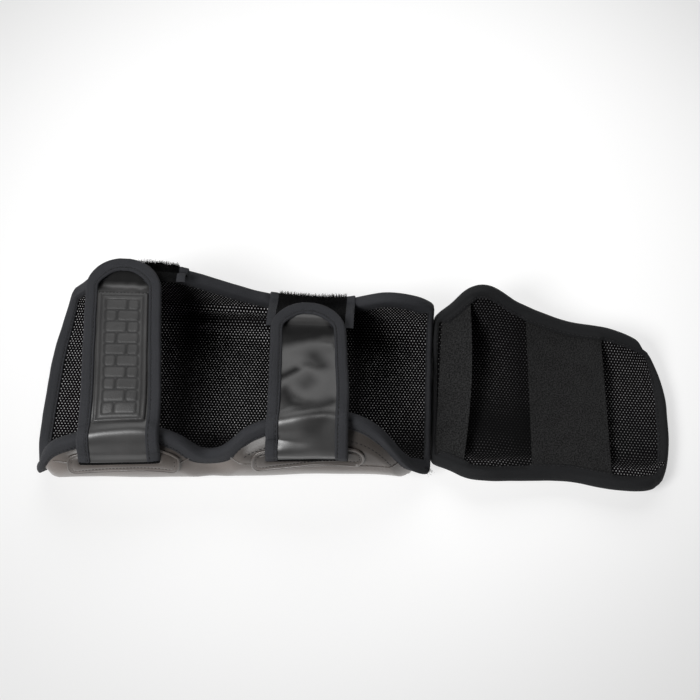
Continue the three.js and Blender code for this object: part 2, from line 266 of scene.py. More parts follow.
@dataclass
class Trough:
    """A half of the guard: a flat front that bends up into two walls."""

    radius: float
    front_pad: float
    wall_pad: float
    rows: tuple[tuple[float, ...], ...]
    near_corners: tuple[Corner, Corner]
    far_corners: tuple[Corner, Corner]

    def __post_init__(self) -> None:
        """Works out the table and the ends."""
        self.table = SectionTable(self.rows)
        self.start, self.end = self.rows[0][0], self.rows[-1][0]
        self.lift = LINING + GAP + self.front_pad

    def place(self, x: float, s: float, h: float) -> Vector:
        """A point of the pattern in space.

        Args:
            x: Station along the guard.
            s: Length round the section, negative on the near wall.
            h: Depth outward from the face of the lining.

        Returns:
            The point in millimetres.
        """
        cut = self.table.at(x)
        length, near = abs(s), s < 0
        lean = math.radians(cut.near_angle if near else cut.far_angle)
        bend = clamp((length - cut.base) / self.radius, 0.0, lean)
        rise = max(length - cut.base - self.radius * lean, 0.0)
        reach = self.radius + h
        y = min(length, cut.base) + reach * math.sin(bend) + rise * math.cos(bend)
        z = self.radius - reach * math.cos(bend) + rise * math.sin(bend)
        sweep, edge = (cut.near_sweep, cut.near) if near else (cut.far_sweep, cut.far)
        swept = x + sweep * (length / edge) ** 3
        past = max(length - cut.base, 0.0) / (edge - cut.base) if near else 0.0
        height = self.lift + z - cut.near_drop * self.let_down(x, past)
        return Vector((swept, cut.middle + math.copysign(y, s), height))

    def let_down(self, x: float, past: float) -> float:
        """Share of the near edge's drop: all of the wall at the first end, its edge at the last."""
        return blend(ease(past, 0.0, 0.55), past**2, ease(x, self.start, self.end))

    def reach(self, x: float, side: Side) -> float:
        """Length from the middle line to an edge, with the corners rounded off.

        Args:
            x: Station along the guard.
            side: The wall.

        Returns:
            The length.
        """
        cut = self.table.at(x)
        near = side is Side.NEAR
        first, last = self.near_corners if near else self.far_corners
        full = cut.near if near else cut.far
        return full - first.cut(x - self.start) - last.cut(self.end - x)

    def limits(self, x: float) -> tuple[float, float]:
        """The two edges of the pattern at a station."""
        return -self.reach(x, Side.NEAR), self.reach(x, Side.FAR)

    def stations(self, step: float) -> list[float]:
        """Stations along the guard, close together round the corners.

        Args:
            step: Wanted distance between points.

        Returns:
            The stations from end to end.
        """
        first, last = (max(a.run, b.run) for a, b in zip(self.near_corners, self.far_corners))
        turn = [1 - math.cos(a) for a in spread(0.0, math.pi / 2, 8)][:-1]
        inner = self.end - self.start - first - last
        middle = spread(self.start + first, self.end - last, round(inner / step))
        head = [self.start + first * t for t in turn]
        tail = [self.end - last * t for t in reversed(turn)]
        return head + middle + tail

    def painted_shade(self, x: float, s: float) -> float:
        """Painted shade on the leather: its walls are painted darker from the floor up to the rim.
        """
        return WALL_PAINTED_SHADE * ease(self.place(x, s, self.outer(x, s)).z, *PAINTED_SHADE_RISE)

    def outer(self, x: float, s: float) -> float:
        """Depth of the leather face: thin under the tape, swelling to the full padding.

        Args:
            x: Station along the guard.
            s: Length round the section.

        Returns:
            The depth.
        """
        cut = self.table.at(x)
        length = abs(s)
        side = Side.NEAR if s < 0 else Side.FAR
        room = min(x - self.start, self.end - x, self.reach(x, side) - length)
        swell = math.sin(clamp((room - TAPE_LEG) / SWELL_RUN, 0.0, 1.0) * math.pi / 2)
        turn = ease(length, cut.base - TURN_BEFORE, cut.base + TURN_AFTER)
        full = blend(self.front_pad, self.wall_pad, turn)
        return LINING + GAP + blend(EDGE_PAD, full, swell)

    def rim(self, step: float) -> list[tuple[float, float]]:
        """The closed outline of the pattern, in even steps.

        Args:
            step: Wanted distance between points.

        Returns:
            The points of the rim.
        """
        stations = self.stations(step)
        near = [(x, self.limits(x)[0]) for x in stations]
        far = [(x, self.limits(x)[1]) for x in reversed(stations)]
        corners = [near[-1], far[0]], [far[-1], near[0]]
        ends = [
            [(x, blend(one[1], two[1], i / 60)) for i in range(1, 60)]
            for x, (one, two) in zip((self.end, self.start), corners)
        ]
        return evened([*near, *ends[0], *far, *ends[1], near[0]], step)[:-1]


def evened(path: Sequence[tuple[float, float]], step: float) -> list[tuple[float, float]]:
    """The same path with points in even steps.

    Args:
        path: Points of a path in a pattern.
        step: Wanted distance between points.

    Returns:
        Points from the first to the last.
    """
    run = [0.0]
    for one, two in zip(path, path[1:]):
        run.append(run[-1] + math.dist(one, two))
    points = []
    for along in spread(0.0, run[-1], max(round(run[-1] / step), 2) + 1):
        i = int(clamp(bisect_right(run, along), 1, len(run) - 1))
        share = (along - run[i - 1]) / max(run[i] - run[i - 1], 1e-9)
        (a, b), (c, d) = path[i - 1], path[i]
        points.append((blend(a, c, share), blend(b, d, share)))
    return points


class Curve:
    """A smooth curve through points, read by its length."""

    STEPS = 220

    def __init__(self, points: Sequence[Vector]) -> None:
        """Samples a curve through points, with even speed over uneven steps.

        Args:
            points: Points on the curve, in order.
        """
        ends = [2 * points[0] - points[1], *points, 2 * points[-1] - points[-2]]
        self.points = [self._at(ends, i / self.STEPS) for i in range(self.STEPS + 1)]
        self.run = [0.0]
        for one, two in zip(self.points, self.points[1:]):
            self.run.append(self.run[-1] + (two - one).length)
        self.length = self.run[-1]

    @staticmethod
    def _at(points: Sequence[Vector], share: float) -> Vector:
        """A point of the curve at a share of its segments.

        Args:
            points: Points on the curve.
            share: Share of the way.

        Returns:
            The point.
        """
        along = share * (len(points) - 3)
        i = min(int(along), len(points) - 4)
        t = along - i
        p0, p1, p2, p3 = points[i : i + 4]
        d0, d1, d2 = ((b - a).length ** 0.5 for a, b in ((p0, p1), (p1, p2), (p2, p3)))
        one = ((p1 - p0) / d0 - (p2 - p0) / (d0 + d1) + (p2 - p1) / d1) * d1
        two = ((p2 - p1) / d1 - (p3 - p1) / (d1 + d2) + (p3 - p2) / d2) * d1
        square = (p2 - p1) * 3 - one * 2 - two
        return p1 + one * t + square * t * t + ((p1 - p2) * 2 + one + two) * t**3

    def at(self, share: float) -> tuple[Vector, Vector]:
        """A point at a share of the length, and the direction there.

        Args:
            share: Share of the length.

        Returns:
            The point and the direction.
        """
        along = clamp(share, 0.0, 1.0) * self.length
        i = int(clamp(bisect_right(self.run, along), 1, self.STEPS))
        part = (along - self.run[i - 1]) / (self.run[i] - self.run[i - 1])
        step = self.points[i] - self.points[i - 1]
        low, high = max(i - 2, 0), min(i + 1, self.STEPS)
        return self.points[i - 1] + step * part, self.points[high] - self.points[low]


class Band:
    """A band along a curve that changes from column to column across its width."""

    COLUMNS = 15

    def __init__(self, half: float, way: Callable[[float], Sequence[Vector]], side: int) -> None:
        """Samples the curves of a band.

        Args:
            half: Half of the width that is sampled.
            way: Points along the band at a distance from its middle.
            side: -1 if the face is to the left of the way seen along +X, or else 1.
        """
        self.half, self.side = half, side
        self.curves = [Curve(way(q)) for q in spread(-half, half, self.COLUMNS)]
        self.length = self.curves[self.COLUMNS // 2].length

    def place(self, p: float, q: float, h: float) -> Vector:
        """A point at length p along the band, q across it and h above its underside.

        Args:
            p: Length along the band.
            q: Distance from its middle.
            h: Height over its underside.

        Returns:
            The point.
        """
        along = clamp((q + self.half) / (2 * self.half), 0.0, 1.0) * (self.COLUMNS - 1)
        i = min(int(along), self.COLUMNS - 2)
        ends = [curve.at(p / self.length) for curve in self.curves[i : i + 2]]
        point, tangent = (a.lerp(b, along - i) for a, b in zip(*ends))
        tangent = Vector((0.0, tangent.y, tangent.z)).normalized()
        normal = Vector((0.0, self.side * tangent.z, -self.side * tangent.y))
        past = p - clamp(p, 0.0, self.length)
        beyond = q - clamp(q, -self.half, self.half)
        return point + tangent * past + normal * h + Vector((beyond, 0.0, 0.0))


class Value:
    """A number over a surface: a socket whose arithmetic adds Math nodes."""

    def __init__(self, nodes: "Nodes", socket: bpy.types.NodeSocket) -> None:
        """Wraps an output socket."""
        self.nodes, self.socket = nodes, socket

    def __add__(self, other: "Value | float") -> "Value":
        """Sum."""
        return self.nodes.math("ADD", self, other)

    def __sub__(self, other: "Value | float") -> "Value":
        """Difference."""
        return self.nodes.math("SUBTRACT", self, other)

    def __rsub__(self, other: float) -> "Value":
        """Difference from a number."""
        return self.nodes.math("SUBTRACT", other, self)

    def __mul__(self, other: "Value | float") -> "Value":
        """Product."""
        return self.nodes.math("MULTIPLY", self, other)

    def __truediv__(self, other: "Value | float") -> "Value":
        """Quotient."""
        return self.nodes.math("DIVIDE", self, other)

    def __pow__(self, other: float) -> "Value":
        """Power."""
        return self.nodes.math("POWER", self, other)

    __radd__ = __add__
    __rmul__ = __mul__

    def fract(self) -> "Value":
        """Part after the point."""
        return self.nodes.math("FRACT", self)

    def sine(self) -> "Value":
        """Sine."""
        return self.nodes.math("SINE", self)

    def least(self, other: "Value | float") -> "Value":
        """The smaller of two."""
        return self.nodes.math("MINIMUM", self, other)

    def stepped(self, low: float, high: float) -> "Value":
        """A smooth step from 0 at low to 1 at high.

        Args:
            low: Where the step starts.
            high: Where it ends.

        Returns:
            The step.
        """
        limits = {"Value": self, "From Min": low, "From Max": high}
        settings = {"interpolation_type": "SMOOTHSTEP"}
        return Value(self.nodes, self.nodes.add("ShaderNodeMapRange", settings, limits).outputs[0])


class Nodes:
    """The node tree of one material."""

    def __init__(self, name: str) -> None:
        """Starts an empty material.

        Args:
            name: Name of the material.
        """
        self.material = bpy.data.materials.new(name)
        self.material.use_nodes = True
        self.tree = self.material.node_tree
        self.tree.nodes.clear()

    def add(
        self,
        kind: str,
        settings: dict[str, Any] | None = None,
        inputs: dict[str | int, Any] | None = None,
    ) -> bpy.types.Node:
        """Adds a node.

        Args:
            kind: The node's type.
            settings: Its own settings, set first.
            inputs: Values or links of its sockets, by name or number.

        Returns:
            The node.
        """
        node = self.tree.nodes.new(kind)
        for name, value in (settings or {}).items():
            setattr(node, name, value)
        for key, value in (inputs or {}).items():
            if isinstance(value, Value):
                self.tree.links.new(value.socket, node.inputs[key])
            elif isinstance(value, bpy.types.NodeSocket):
                self.tree.links.new(value, node.inputs[key])
            else:
                node.inputs[key].default_value = value
        return node

    def math(self, operation: str, *terms: Value | float) -> Value:
        """A Math node over values and numbers."""
        node = self.add("ShaderNodeMath", {"operation": operation}, dict(enumerate(terms)))
        return Value(self, node.outputs[0])

    def spot(self) -> bpy.types.NodeSocket:
        """Object coordinates, which are row coordinates here."""
        return self.add("ShaderNodeTexCoord").outputs["Object"]

    def pattern(self) -> tuple[bpy.types.NodeSocket, Value, Value]:
        """The pattern's coordinates in metres, as a vector and as two numbers.

        Returns:
            The vector and its two numbers.
        """
        uv = self.add("ShaderNodeUVMap", {"uv_map": UV_NAME}).outputs["UV"]
        split = self.add("ShaderNodeSeparateXYZ", None, {0: uv})
        return uv, Value(self, split.outputs[0]), Value(self, split.outputs[1])

    def tone(self) -> Value:
        """The painted light and shade stored at the points of the piece."""
        stored = self.add("ShaderNodeAttribute", {"attribute_name": PAINTED_SHADING_NAME})
        return Value(self, stored.outputs["Fac"])

    def clouds(self, where: bpy.types.NodeSocket, size: float, detail: float) -> Value:
        """Noise from 0 to 1 with clouds of a size in metres."""
        inputs = {"Vector": where, "Scale": 1 / size, "Detail": detail}
        return Value(self, self.add("ShaderNodeTexNoise", None, inputs).outputs[0])

    def cells(self, where: bpy.types.NodeSocket, size: float) -> Value:
        """Distance to the middle of the nearest cell, in cells of a size in metres."""
        inputs = {"Vector": where, "Scale": 1 / size}
        return Value(self, self.add("ShaderNodeTexVoronoi", None, inputs).outputs["Distance"])

    def tint(self, share: Value, one: Colour, two: Colour) -> bpy.types.NodeSocket:
        """A mix of two colours."""
        inputs = {0: share, 6: (*one, 1.0), 7: (*two, 1.0)}
        return self.add("ShaderNodeMix", {"data_type": "RGBA"}, inputs).outputs[2]

    def finish(
        self,
        colour: bpy.types.NodeSocket,
        roughness: Value,
        height: Value,
        depth: float,
        constants: dict[str, Any] | None = None,
    ) -> bpy.types.Material:
        """Joins the parts of a finish into its shader.

        Args:
            colour: Base colour over the surface.
            roughness: Roughness over the surface.
            height: Relief from 0 to 1.
            depth: Height in metres of a relief of 1.
            constants: Shader inputs that are the same all over.

        Returns:
            The material.
        """
        bump = self.add("ShaderNodeBump", None, {"Height": height, "Distance": depth})
        inputs = {"Base Color": colour, "Roughness": roughness, "Normal": bump.outputs[0]}
        shader = self.add("ShaderNodeBsdfPrincipled", None, {**inputs, **(constants or {})})
        self.add("ShaderNodeOutputMaterial", None, {"Surface": shader.outputs[0]})
        return self.material


@dataclass(frozen=True)
class Leather:
    """Synthetic leather with a pebbled grain and soft variations of gloss, darkened and dulled
    where painted shade is stored.
    """

    name: str
    dark: Colour
    light: Colour
    roughness: float
    grain: float
    depth: float
    coat: float = 0.0
    coat_roughness: float = 0.42
    specular: float = 0.5
    # The near-black colour that painted shade mixes in.
    painted_shade_colour: Colour = (0.0012, 0.0012, 0.0013)

    def material(self) -> bpy.types.Material:
        """Builds the material.

        Returns:
            The material.
        """
        nodes = Nodes(self.name)
        spot = nodes.spot()
        clouds = nodes.clouds(spot, 0.03, 4.0)
        fine = nodes.clouds(spot, 0.0006, 2.0)
        pebbles = nodes.cells(spot, self.grain)
        height = pebbles.stepped(0.05, 0.6) * -0.8 + fine * 0.3 + 1.0
        # Painted shade, as stored at the points: it mixes in the painted shade colour, roughens the
        # leather and takes away its coat.
        painted_shade = nodes.tone()
        rough = clouds * 0.22 + pebbles * 0.06 + painted_shade * 0.2 + (self.roughness - 0.12)
        colour = nodes.tint(clouds.stepped(0.3, 0.75), self.dark, self.light)
        colours = {0: painted_shade, 6: colour, 7: (*self.painted_shade_colour, 1.0)}
        painted_shade_colour = nodes.add("ShaderNodeMix", {"data_type": "RGBA"}, colours).outputs[2]
        coat = (1.0 - painted_shade) * self.coat if self.coat else 0.0
        gloss = {"Coat Weight": coat, "Coat Roughness": self.coat_roughness}
        gloss["Specular IOR Level"] = self.specular
        return nodes.finish(painted_shade_colour, rough, height, self.depth, gloss)


@dataclass(frozen=True)
class MeshCloth:
    """Black mesh cloth whose knit shows as rows of pale points."""

    name: str
    ground: Colour
    point: Colour
    pitch: float
    radius: float

    def material(self) -> bpy.types.Material:
        """Builds the material.

        Returns:
            The material.
        """
        nodes = Nodes(self.name)
        uv, u, v = nodes.pattern()
        tall = self.pitch * math.sqrt(3.0)

        def lattice(shift: float) -> Value:
            """Distance to the nearest point of one lattice.

            Args:
                shift: Shift of the points.

            Returns:
                The distance.
            """
            across = ((u / self.pitch + shift).fract() - 0.5) * self.pitch
            along = ((v / tall + shift).fract() - 0.5) * tall
            return (across * across + along * along) ** 0.5

        gap = lattice(0.0).least(lattice(0.5))
        points = 1.0 - gap.stepped(self.radius * 0.55, self.radius)
        wear = nodes.clouds(uv, 0.006, 3.0).stepped(0.25, 0.75)
        # The points are painted brighter or darker by the stored painted light and shade, and vary
        # at random as wear.
        colour = nodes.tint(points * nodes.tone() * (wear * 0.5 + 0.5), self.ground, self.point)
        rough = 0.9 - points * 0.35
        return nodes.finish(colour, rough, points, 0.0005, {"Specular IOR Level": 0.12})


@dataclass(frozen=True)
class Weave:
    """A woven band with ribs across it and specks of fuzzy yarn."""

    name: str
    dark: Colour
    light: Colour
    rib: float
    speck: float
    depth: float
    shine: float = 0.3

    def material(self) -> bpy.types.Material:
        """Builds the material.

        Returns:
            The material.
        """
        nodes = Nodes(self.name)
        uv, u, v = nodes.pattern()
        turn = 2 * math.pi / self.rib
        ribs = (u * turn).sine() * 0.5 + 0.5
        picks = (v * (turn * 0.7)).sine() * 0.5 + 0.5
        yarn = nodes.clouds(uv, self.speck, 2.0).stepped(0.3, 0.7)
        patches = nodes.clouds(uv, 0.012, 3.0)
        height = ribs * 0.55 + picks * 0.2 + yarn * 0.5
        colour = nodes.tint(patches * 0.3 + yarn * 0.7, self.dark, self.light)
        rough = yarn * 0.2 + 0.72
        return nodes.finish(colour, rough, height, self.depth, {"Specular IOR Level": self.shine})


@dataclass(frozen=True)
class Pile:
    """Loop pile that takes in nearly all light."""

    name: str
    dark: Colour
    light: Colour

    def material(self) -> bpy.types.Material:
        """Builds the material.

        Returns:
            The material.
        """
        nodes = Nodes(self.name)
        spot = nodes.spot()
        loops = nodes.cells(spot, 0.0011)
        tufts = nodes.clouds(spot, 0.006, 3.0)
        colour = nodes.tint(tufts * 0.6 + (1.0 - loops) * 0.3, self.dark, self.light)
        height = (1.0 - loops) * 0.7 + tufts * 0.6
        return nodes.finish(colour, loops * 0.1 + 0.88, height, 0.0008, {"Specular IOR Level": 0.1})


@dataclass(frozen=True)
class Thread:
    """Twisted sewing thread."""

    name: str
    dark: Colour
    light: Colour

    def material(self) -> bpy.types.Material:
        """Builds the material.

        Returns:
            The material.
        """
        nodes = Nodes(self.name)
        spot = nodes.spot()
        twist = nodes.clouds(spot, 0.0004, 1.0)
        colour = nodes.tint(twist, self.dark, self.light)
        return nodes.finish(colour, twist * 0.2 + 0.5, twist, 0.0002)


@dataclass(frozen=True)
class Paper:
    """The pale floor, which glows a little as painted light from below."""

    name: str
    dark: Colour
    light: Colour
    glow: float = 0.67
    centre: Colour = (0.0, 0.17, 0.0)
    fade: tuple[float, float] = (0.18, 0.6)
    edge: Colour = (0.42, 0.42, 0.42)

    def material(self) -> bpy.types.Material:
        """Builds the material.

        Returns:
            The material.
        """
        nodes = Nodes(self.name)
        spot = nodes.spot()
        clouds = nodes.clouds(spot, 0.4, 2.0)
        colour = nodes.tint(clouds, self.dark, self.light)
        places = {0: spot, 1: self.centre}
        away = nodes.add("ShaderNodeVectorMath", {"operation": "DISTANCE"}, places).outputs["Value"]
        # Painted light: the floor's glow is pale round the middle and fades to grey towards the
        # edges.
        faded = nodes.tint(Value(nodes, away).stepped(*self.fade), (1.0, 1.0, 1.0), self.edge)
        glow = {"Emission Color": faded, "Emission Strength": self.glow}
        return nodes.finish(colour, clouds * 0.1 + 0.75, clouds, 0.0001, glow)


class Wardrobe:
    """One material for each finish, made when it is first worn."""

    FINISHES = {
        "wall": Leather(
            "wall_leather",
            dark=(0.092, 0.075, 0.064), light=(0.145, 0.12, 0.105),
            roughness=0.34, grain=0.0012, depth=0.0001, coat=0.9,
        ),
        "rim": Leather(
            "rim_leather",
            dark=(0.06, 0.05, 0.044), light=(0.09, 0.077, 0.068),
            roughness=0.34, grain=0.0012, depth=0.0001, coat=0.9,
        ),
        "gloss": Leather(
            "gloss_leather",
            dark=(0.034, 0.0335, 0.0335), light=(0.052, 0.051, 0.051),
            roughness=0.4, grain=0.001, depth=0.00006, coat=1.0, coat_roughness=0.36, specular=0.12,
        ),
        "panel": Leather(
            "panel_leather",
            dark=(0.036, 0.0355, 0.0355), light=(0.054, 0.053, 0.053),
            roughness=0.42, grain=0.001, depth=0.0001,
        ),
        "mesh": MeshCloth(
            "lining_mesh",
            ground=(0.0014, 0.0014, 0.0016), point=(0.5, 0.49, 0.495),
            pitch=0.0026, radius=0.00062,
        ),
        "tape": Weave(
            "shin_tape",
            dark=(0.02, 0.0208, 0.024), light=(0.034, 0.035, 0.0395),
            rib=0.0009, speck=0.0009, depth=0.0002,
        ),
        "foot_tape": Weave(
            "instep_tape",
            dark=(0.006, 0.0063, 0.007), light=(0.013, 0.0135, 0.015),
            rib=0.0009, speck=0.0009, depth=0.0002,
        ),
        "elastic": Weave(
            "elastic_weave",
            dark=(0.0, 0.0, 0.0), light=(0.037, 0.037, 0.0375),
            rib=0.0011, speck=0.0011, depth=0.0002, shine=0.08,
        ),
        "pile": Pile("loop_pile", (0.0012, 0.0012, 0.0013), (0.005, 0.005, 0.0054)),
        "thread": Thread("sewing_thread", (0.0012, 0.0012, 0.0014), (0.004, 0.004, 0.0044)),
        "floor": Paper("pale_floor", (0.4, 0.4, 0.398), (0.42, 0.42, 0.42)),
    }

    def __init__(self) -> None:
        """Starts with nothing made."""
        self.made: dict[str, bpy.types.Material] = {}

    def get(self, name: str) -> bpy.types.Material:
        """The material of a finish.

        Args:
            name: Name of the finish.

        Returns:
            The material.
        """
        if name not in self.made:
            self.made[name] = self.FINISHES[name].material()
        return self.made[name]


WARDROBE = Wardrobe()


class Body:
    """A mesh laid out as a flat grid, placed on a form and given its second face."""

    SHARP = math.radians(55)

    def __init__(self, rows: Sequence[float], columns: int) -> None:
        """Makes the flat grid.

        Args:
            rows: Places along the pattern.
            columns: Number of points across it.
        """
        self.rows, self.columns = rows, columns
        self.mesh = bmesh.new()
        self.along = self.mesh.verts.layers.float.new("along")
        self.across = self.mesh.verts.layers.float.new("across")
        self.outer = self.mesh.verts.layers.float.new("outer")
        self.tone = self.mesh.verts.layers.float.new(PAINTED_SHADING_NAME)
        segments = {"x_segments": len(rows) - 1, "y_segments": columns - 1}
        bmesh.ops.create_grid(self.mesh, **segments, size=1.0)

    def lay(self, limits: Callable[[float], tuple[float, float]], place: Place) -> None:
        """Warps the grid to its outline and lays it on a form.

        Args:
            limits: The two edges of the pattern at each row.
            place: Where a place of the pattern goes.
        """
        for vert in self.mesh.verts:
            row = self.rows[round((vert.co.x + 1) / 2 * (len(self.rows) - 1))]
            low, high = limits(row)
            vert[self.along] = row
            vert[self.across] = blend(low, high, (vert.co.y + 1) / 2)
        layer = self.mesh.loops.layers.uv.new(UV_NAME)
        for face in self.mesh.faces:
            for loop in face.loops:
                loop[layer].uv = (loop.vert[self.along] * MM, loop.vert[self.across] * MM)
        for vert in self.mesh.verts:
            vert.co = to_row(place(vert[self.along], vert[self.across]))

    def colour(self, tone: Callable[[float, float], float]) -> None:
        """Stores painted light and shade: how bright a lining's points are, or how dark a leather
        is.
        """
        for vert in self.mesh.verts:
            vert[self.tone] = tone(vert[self.along], vert[self.across])

    def weld(self) -> None:
        """Joins the ends of a grid that closes on itself."""
        bmesh.ops.remove_doubles(self.mesh, verts=self.mesh.verts[:], dist=1e-6)

    def back(self, place: Place) -> list[bmesh.types.BMVert]:
        """Adds the second face, which closes the mesh.

        Args:
            place: Where a place of the pattern goes on that face.

        Returns:
            The points of the second face.
        """
        grown = bmesh.ops.extrude_face_region(self.mesh, geom=self.mesh.faces[:])["geom"]
        verts = [item for item in grown if isinstance(item, bmesh.types.BMVert)]
        for vert in verts:
            vert[self.outer] = 1.0
            vert.co = to_row(place(vert[self.along], vert[self.across]))
        bmesh.ops.recalc_face_normals(self.mesh, faces=self.mesh.faces[:])
        return verts

    def settle(
        self, name: str, finish: str, slot: Slot, nodes: Sequence[str] = ()
    ) -> bpy.types.Object:
        """Makes the mesh a piece of the guard."""
        return settle(self.mesh, name, finish, slot, nodes)


def settle(
    mesh: bmesh.types.BMesh, name: str, finish: str, slot: Slot, nodes: Sequence[str] = ()
) -> bpy.types.Object:
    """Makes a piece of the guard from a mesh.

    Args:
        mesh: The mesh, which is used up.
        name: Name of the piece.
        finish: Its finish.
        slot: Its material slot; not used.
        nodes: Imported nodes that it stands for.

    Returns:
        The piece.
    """
    for face in mesh.faces:
        face.smooth = True
    for edge in mesh.edges:
        edge.smooth = len(edge.link_faces) != 2 or edge.calc_face_angle(0.0) < Body.SHARP
    data = bpy.data.meshes.new(name)
    mesh.to_mesh(data)
    mesh.free()
    data.materials.append(WARDROBE.get(finish))
    piece = bpy.data.objects.new(name, data)
    bpy.context.scene.collection.objects.link(piece)
    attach(piece, "root")
    if nodes:
        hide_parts(*nodes)
    LOG.info("%s: %d faces", name, len(data.polygons))
    return piece


class Tape:
    """Tape folded round an edge: the profile of its two legs and its rounded fold."""

    ARC = tuple(range(-75, 76, 25))
    SEAM = 2.1

    def __init__(self, span: float, leg: float, bulge: float) -> None:
        """Works out the profile, from the leg on the lower face to the leg on the upper one.

        Args:
            span: Thickness of what the tape holds.
            leg: Width of a leg.
            bulge: How far the fold stands past the edge.
        """
        legs = [(-leg, 0.3), (0.4 - leg, 1.1), (1.2 - leg, 1.45), (self.SEAM - leg, 1.0)]
        legs += [(3.0 - leg, 1.5), (-leg / 2, 1.65), (-0.8, 1.7)]
        self.face = [(away, -lift) for away, lift in legs]
        self.inside = [(away, -0.15) for away, _ in legs]
        for angle in map(math.radians, self.ARC):
            middle, tall = span / 2, span / 2 + 1.75
            self.face.append((bulge * math.cos(angle) - 0.6, middle + tall * math.sin(angle)))
            inner = (bulge - TAPE, middle + (tall - 1.3) * math.sin(angle))
            self.inside.append((max(inner[0] * math.cos(angle) - 0.6, 0.25), inner[1]))
        self.face += [(away, span + lift) for away, lift in reversed(legs)]
        self.inside += [(away, span + 0.15) for away, _ in reversed(legs)]
        self.width = sum(math.dist(a, b) for a, b in zip(self.face, self.face[1:]))
        self.count = len(self.face)
        self.seam = leg - self.SEAM
        self.seam_depths = (-1.25, span + 1.25)


@dataclass
class Edging:
    """A tape sewn along a path of a pattern, with its rows of stitches."""

    tape: Tape
    path: list[tuple[float, float]]
    closed: bool
    place: Callable[[float, float, float], Vector]
    lift: Callable[[float, float, float, float], float] = lambda x, s, away, h: h
    trim: Callable[[float, float, float], float] = lambda x, s, away: away
    seed: float = 0.0
    finish: str = "tape"

    def __post_init__(self) -> None:
        """Works out the outward direction at each point of the path."""
        count = len(self.path)
        self.normals = []
        for k in range(count):
            before = self.path[k - 1 if k or self.closed else 0]
            after = self.path[(k + 1) % count if self.closed else min(k + 1, count - 1)]
            run = math.dist(before, after)
            self.normals.append(((after[1] - before[1]) / run, (before[0] - after[0]) / run))
        self.step = math.dist(self.path[0], self.path[1])

    def at(self, along: float, away: float, h: float) -> Vector:
        """A point by the path.

        Args:
            along: Number of the path's point, whole or between two.
            away: Distance outward from the path in the pattern.
            h: Depth.

        Returns:
            The point in millimetres.
        """
        count = len(self.path)
        low = int(math.floor(along))
        one, two = (k % count if self.closed else min(k, count - 1) for k in (low, low + 1))
        share = along - low
        x, s = (blend(a, b, share) for a, b in zip(self.path[one], self.path[two]))
        nx, ns = (blend(a, b, share) for a, b in zip(self.normals[one], self.normals[two]))
        away = self.trim(x, s, away) + 0.3 * ripple(along * self.step / 14, self.seed, 2.0)
        spot = (x + away * nx, s + away * ns)
        return self.place(*spot, self.lift(x, s, away, h))

    def build(self, name: str, node: str) -> bpy.types.Object:
        """Builds the tape.

        Args:
            name: Name of the piece.
            node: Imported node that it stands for.

        Returns:
            The piece.
        """
        last = len(self.path) if self.closed else len(self.path) - 1
        body = Body([k * self.step for k in range(last + 1)], self.tape.count)

        def laid(profile: list[tuple[float, float]]) -> Place:
            """Places of the tape's grid on one face of the profile.

            Args:
                profile: Points of the profile.

            Returns:
                The placing.
            """

            def place(along: float, across: float) -> Vector:
                """A point of that face."""
                away, h = profile[round(across / self.tape.width * (self.tape.count - 1))]
                return self.at(along / self.step, away, h)

            return place

        body.lay(lambda _: (0.0, self.tape.width), laid(self.tape.face))
        if self.closed:
            body.weld()
        body.back(laid(self.tape.inside))
        piece = body.settle(name, self.finish, Slot.BINDING_TAPE, [node])
        flat = (self.tape.width * MM, last * self.step * MM)
        return piece

    def stitches(self, name: str) -> bpy.types.Object:
        """Sews a row of stitches along the seam of each leg.

        Args:
            name: Name of the piece.

        Returns:
            The piece.
        """
        sewing, inset = Sewing(), self.tape.seam
        last = len(self.path) if self.closed else len(self.path) - 1
        count = round(last * self.step / Sewing.PITCH)
        for h in self.tape.seam_depths:
            up = -1.0 if h < 0 else 1.0
            for k in range(count):
                ends = [(k + t) * Sewing.PITCH / self.step for t in (0.12, 0.88)]
                points = [self.at(end, -inset, h) for end in ends]
                above = self.at(ends[0], -inset, h + up)
                sewing.stitch(*points, above - points[0])
        return sewing.settle(name)


class Sewing:
    """Stitches collected into one mesh."""

    PITCH = 3.4
    WIDTH = 0.42
    HEIGHT = 0.3

    def __init__(self) -> None:
        """Starts with no stitch."""
        self.mesh = bmesh.new()

    def stitch(self, one: Vector, two: Vector, up: Vector) -> None:
        """Adds a stitch between two points.

        Args:
            one: Where the thread comes up.
            two: Where it goes down.
            up: Direction out of the cloth.
        """
        along = two - one
        side = up.cross(along).normalized()
        lift = along.cross(side).normalized()
        axes = (along / 2, side * self.WIDTH, lift * self.HEIGHT)
        turn = Matrix([[axis[i] * MM for axis in axes] for i in range(3)]).to_4x4()
        turn.translation = to_row((one + two) / 2)
        bmesh.ops.create_icosphere(self.mesh, subdivisions=1, radius=1.0, matrix=turn)

    def line(self, points: Sequence[Vector], ups: Sequence[Vector]) -> None:
        """Adds a row of stitches along points that are one pitch apart."""
        for one, two, up in zip(points, points[1:], ups):
            self.stitch(one.lerp(two, 0.12), one.lerp(two, 0.88), up)

    def loop(self, points: Sequence[Vector], ups: Sequence[Vector]) -> None:
        """Adds a row of stitches that closes on itself."""
        self.line([*points, points[0]], ups)

    def settle(self, name: str) -> bpy.types.Object:
        """Makes the stitches a piece."""
        return settle(self.mesh, name, "thread", Slot.BINDING_TAPE)


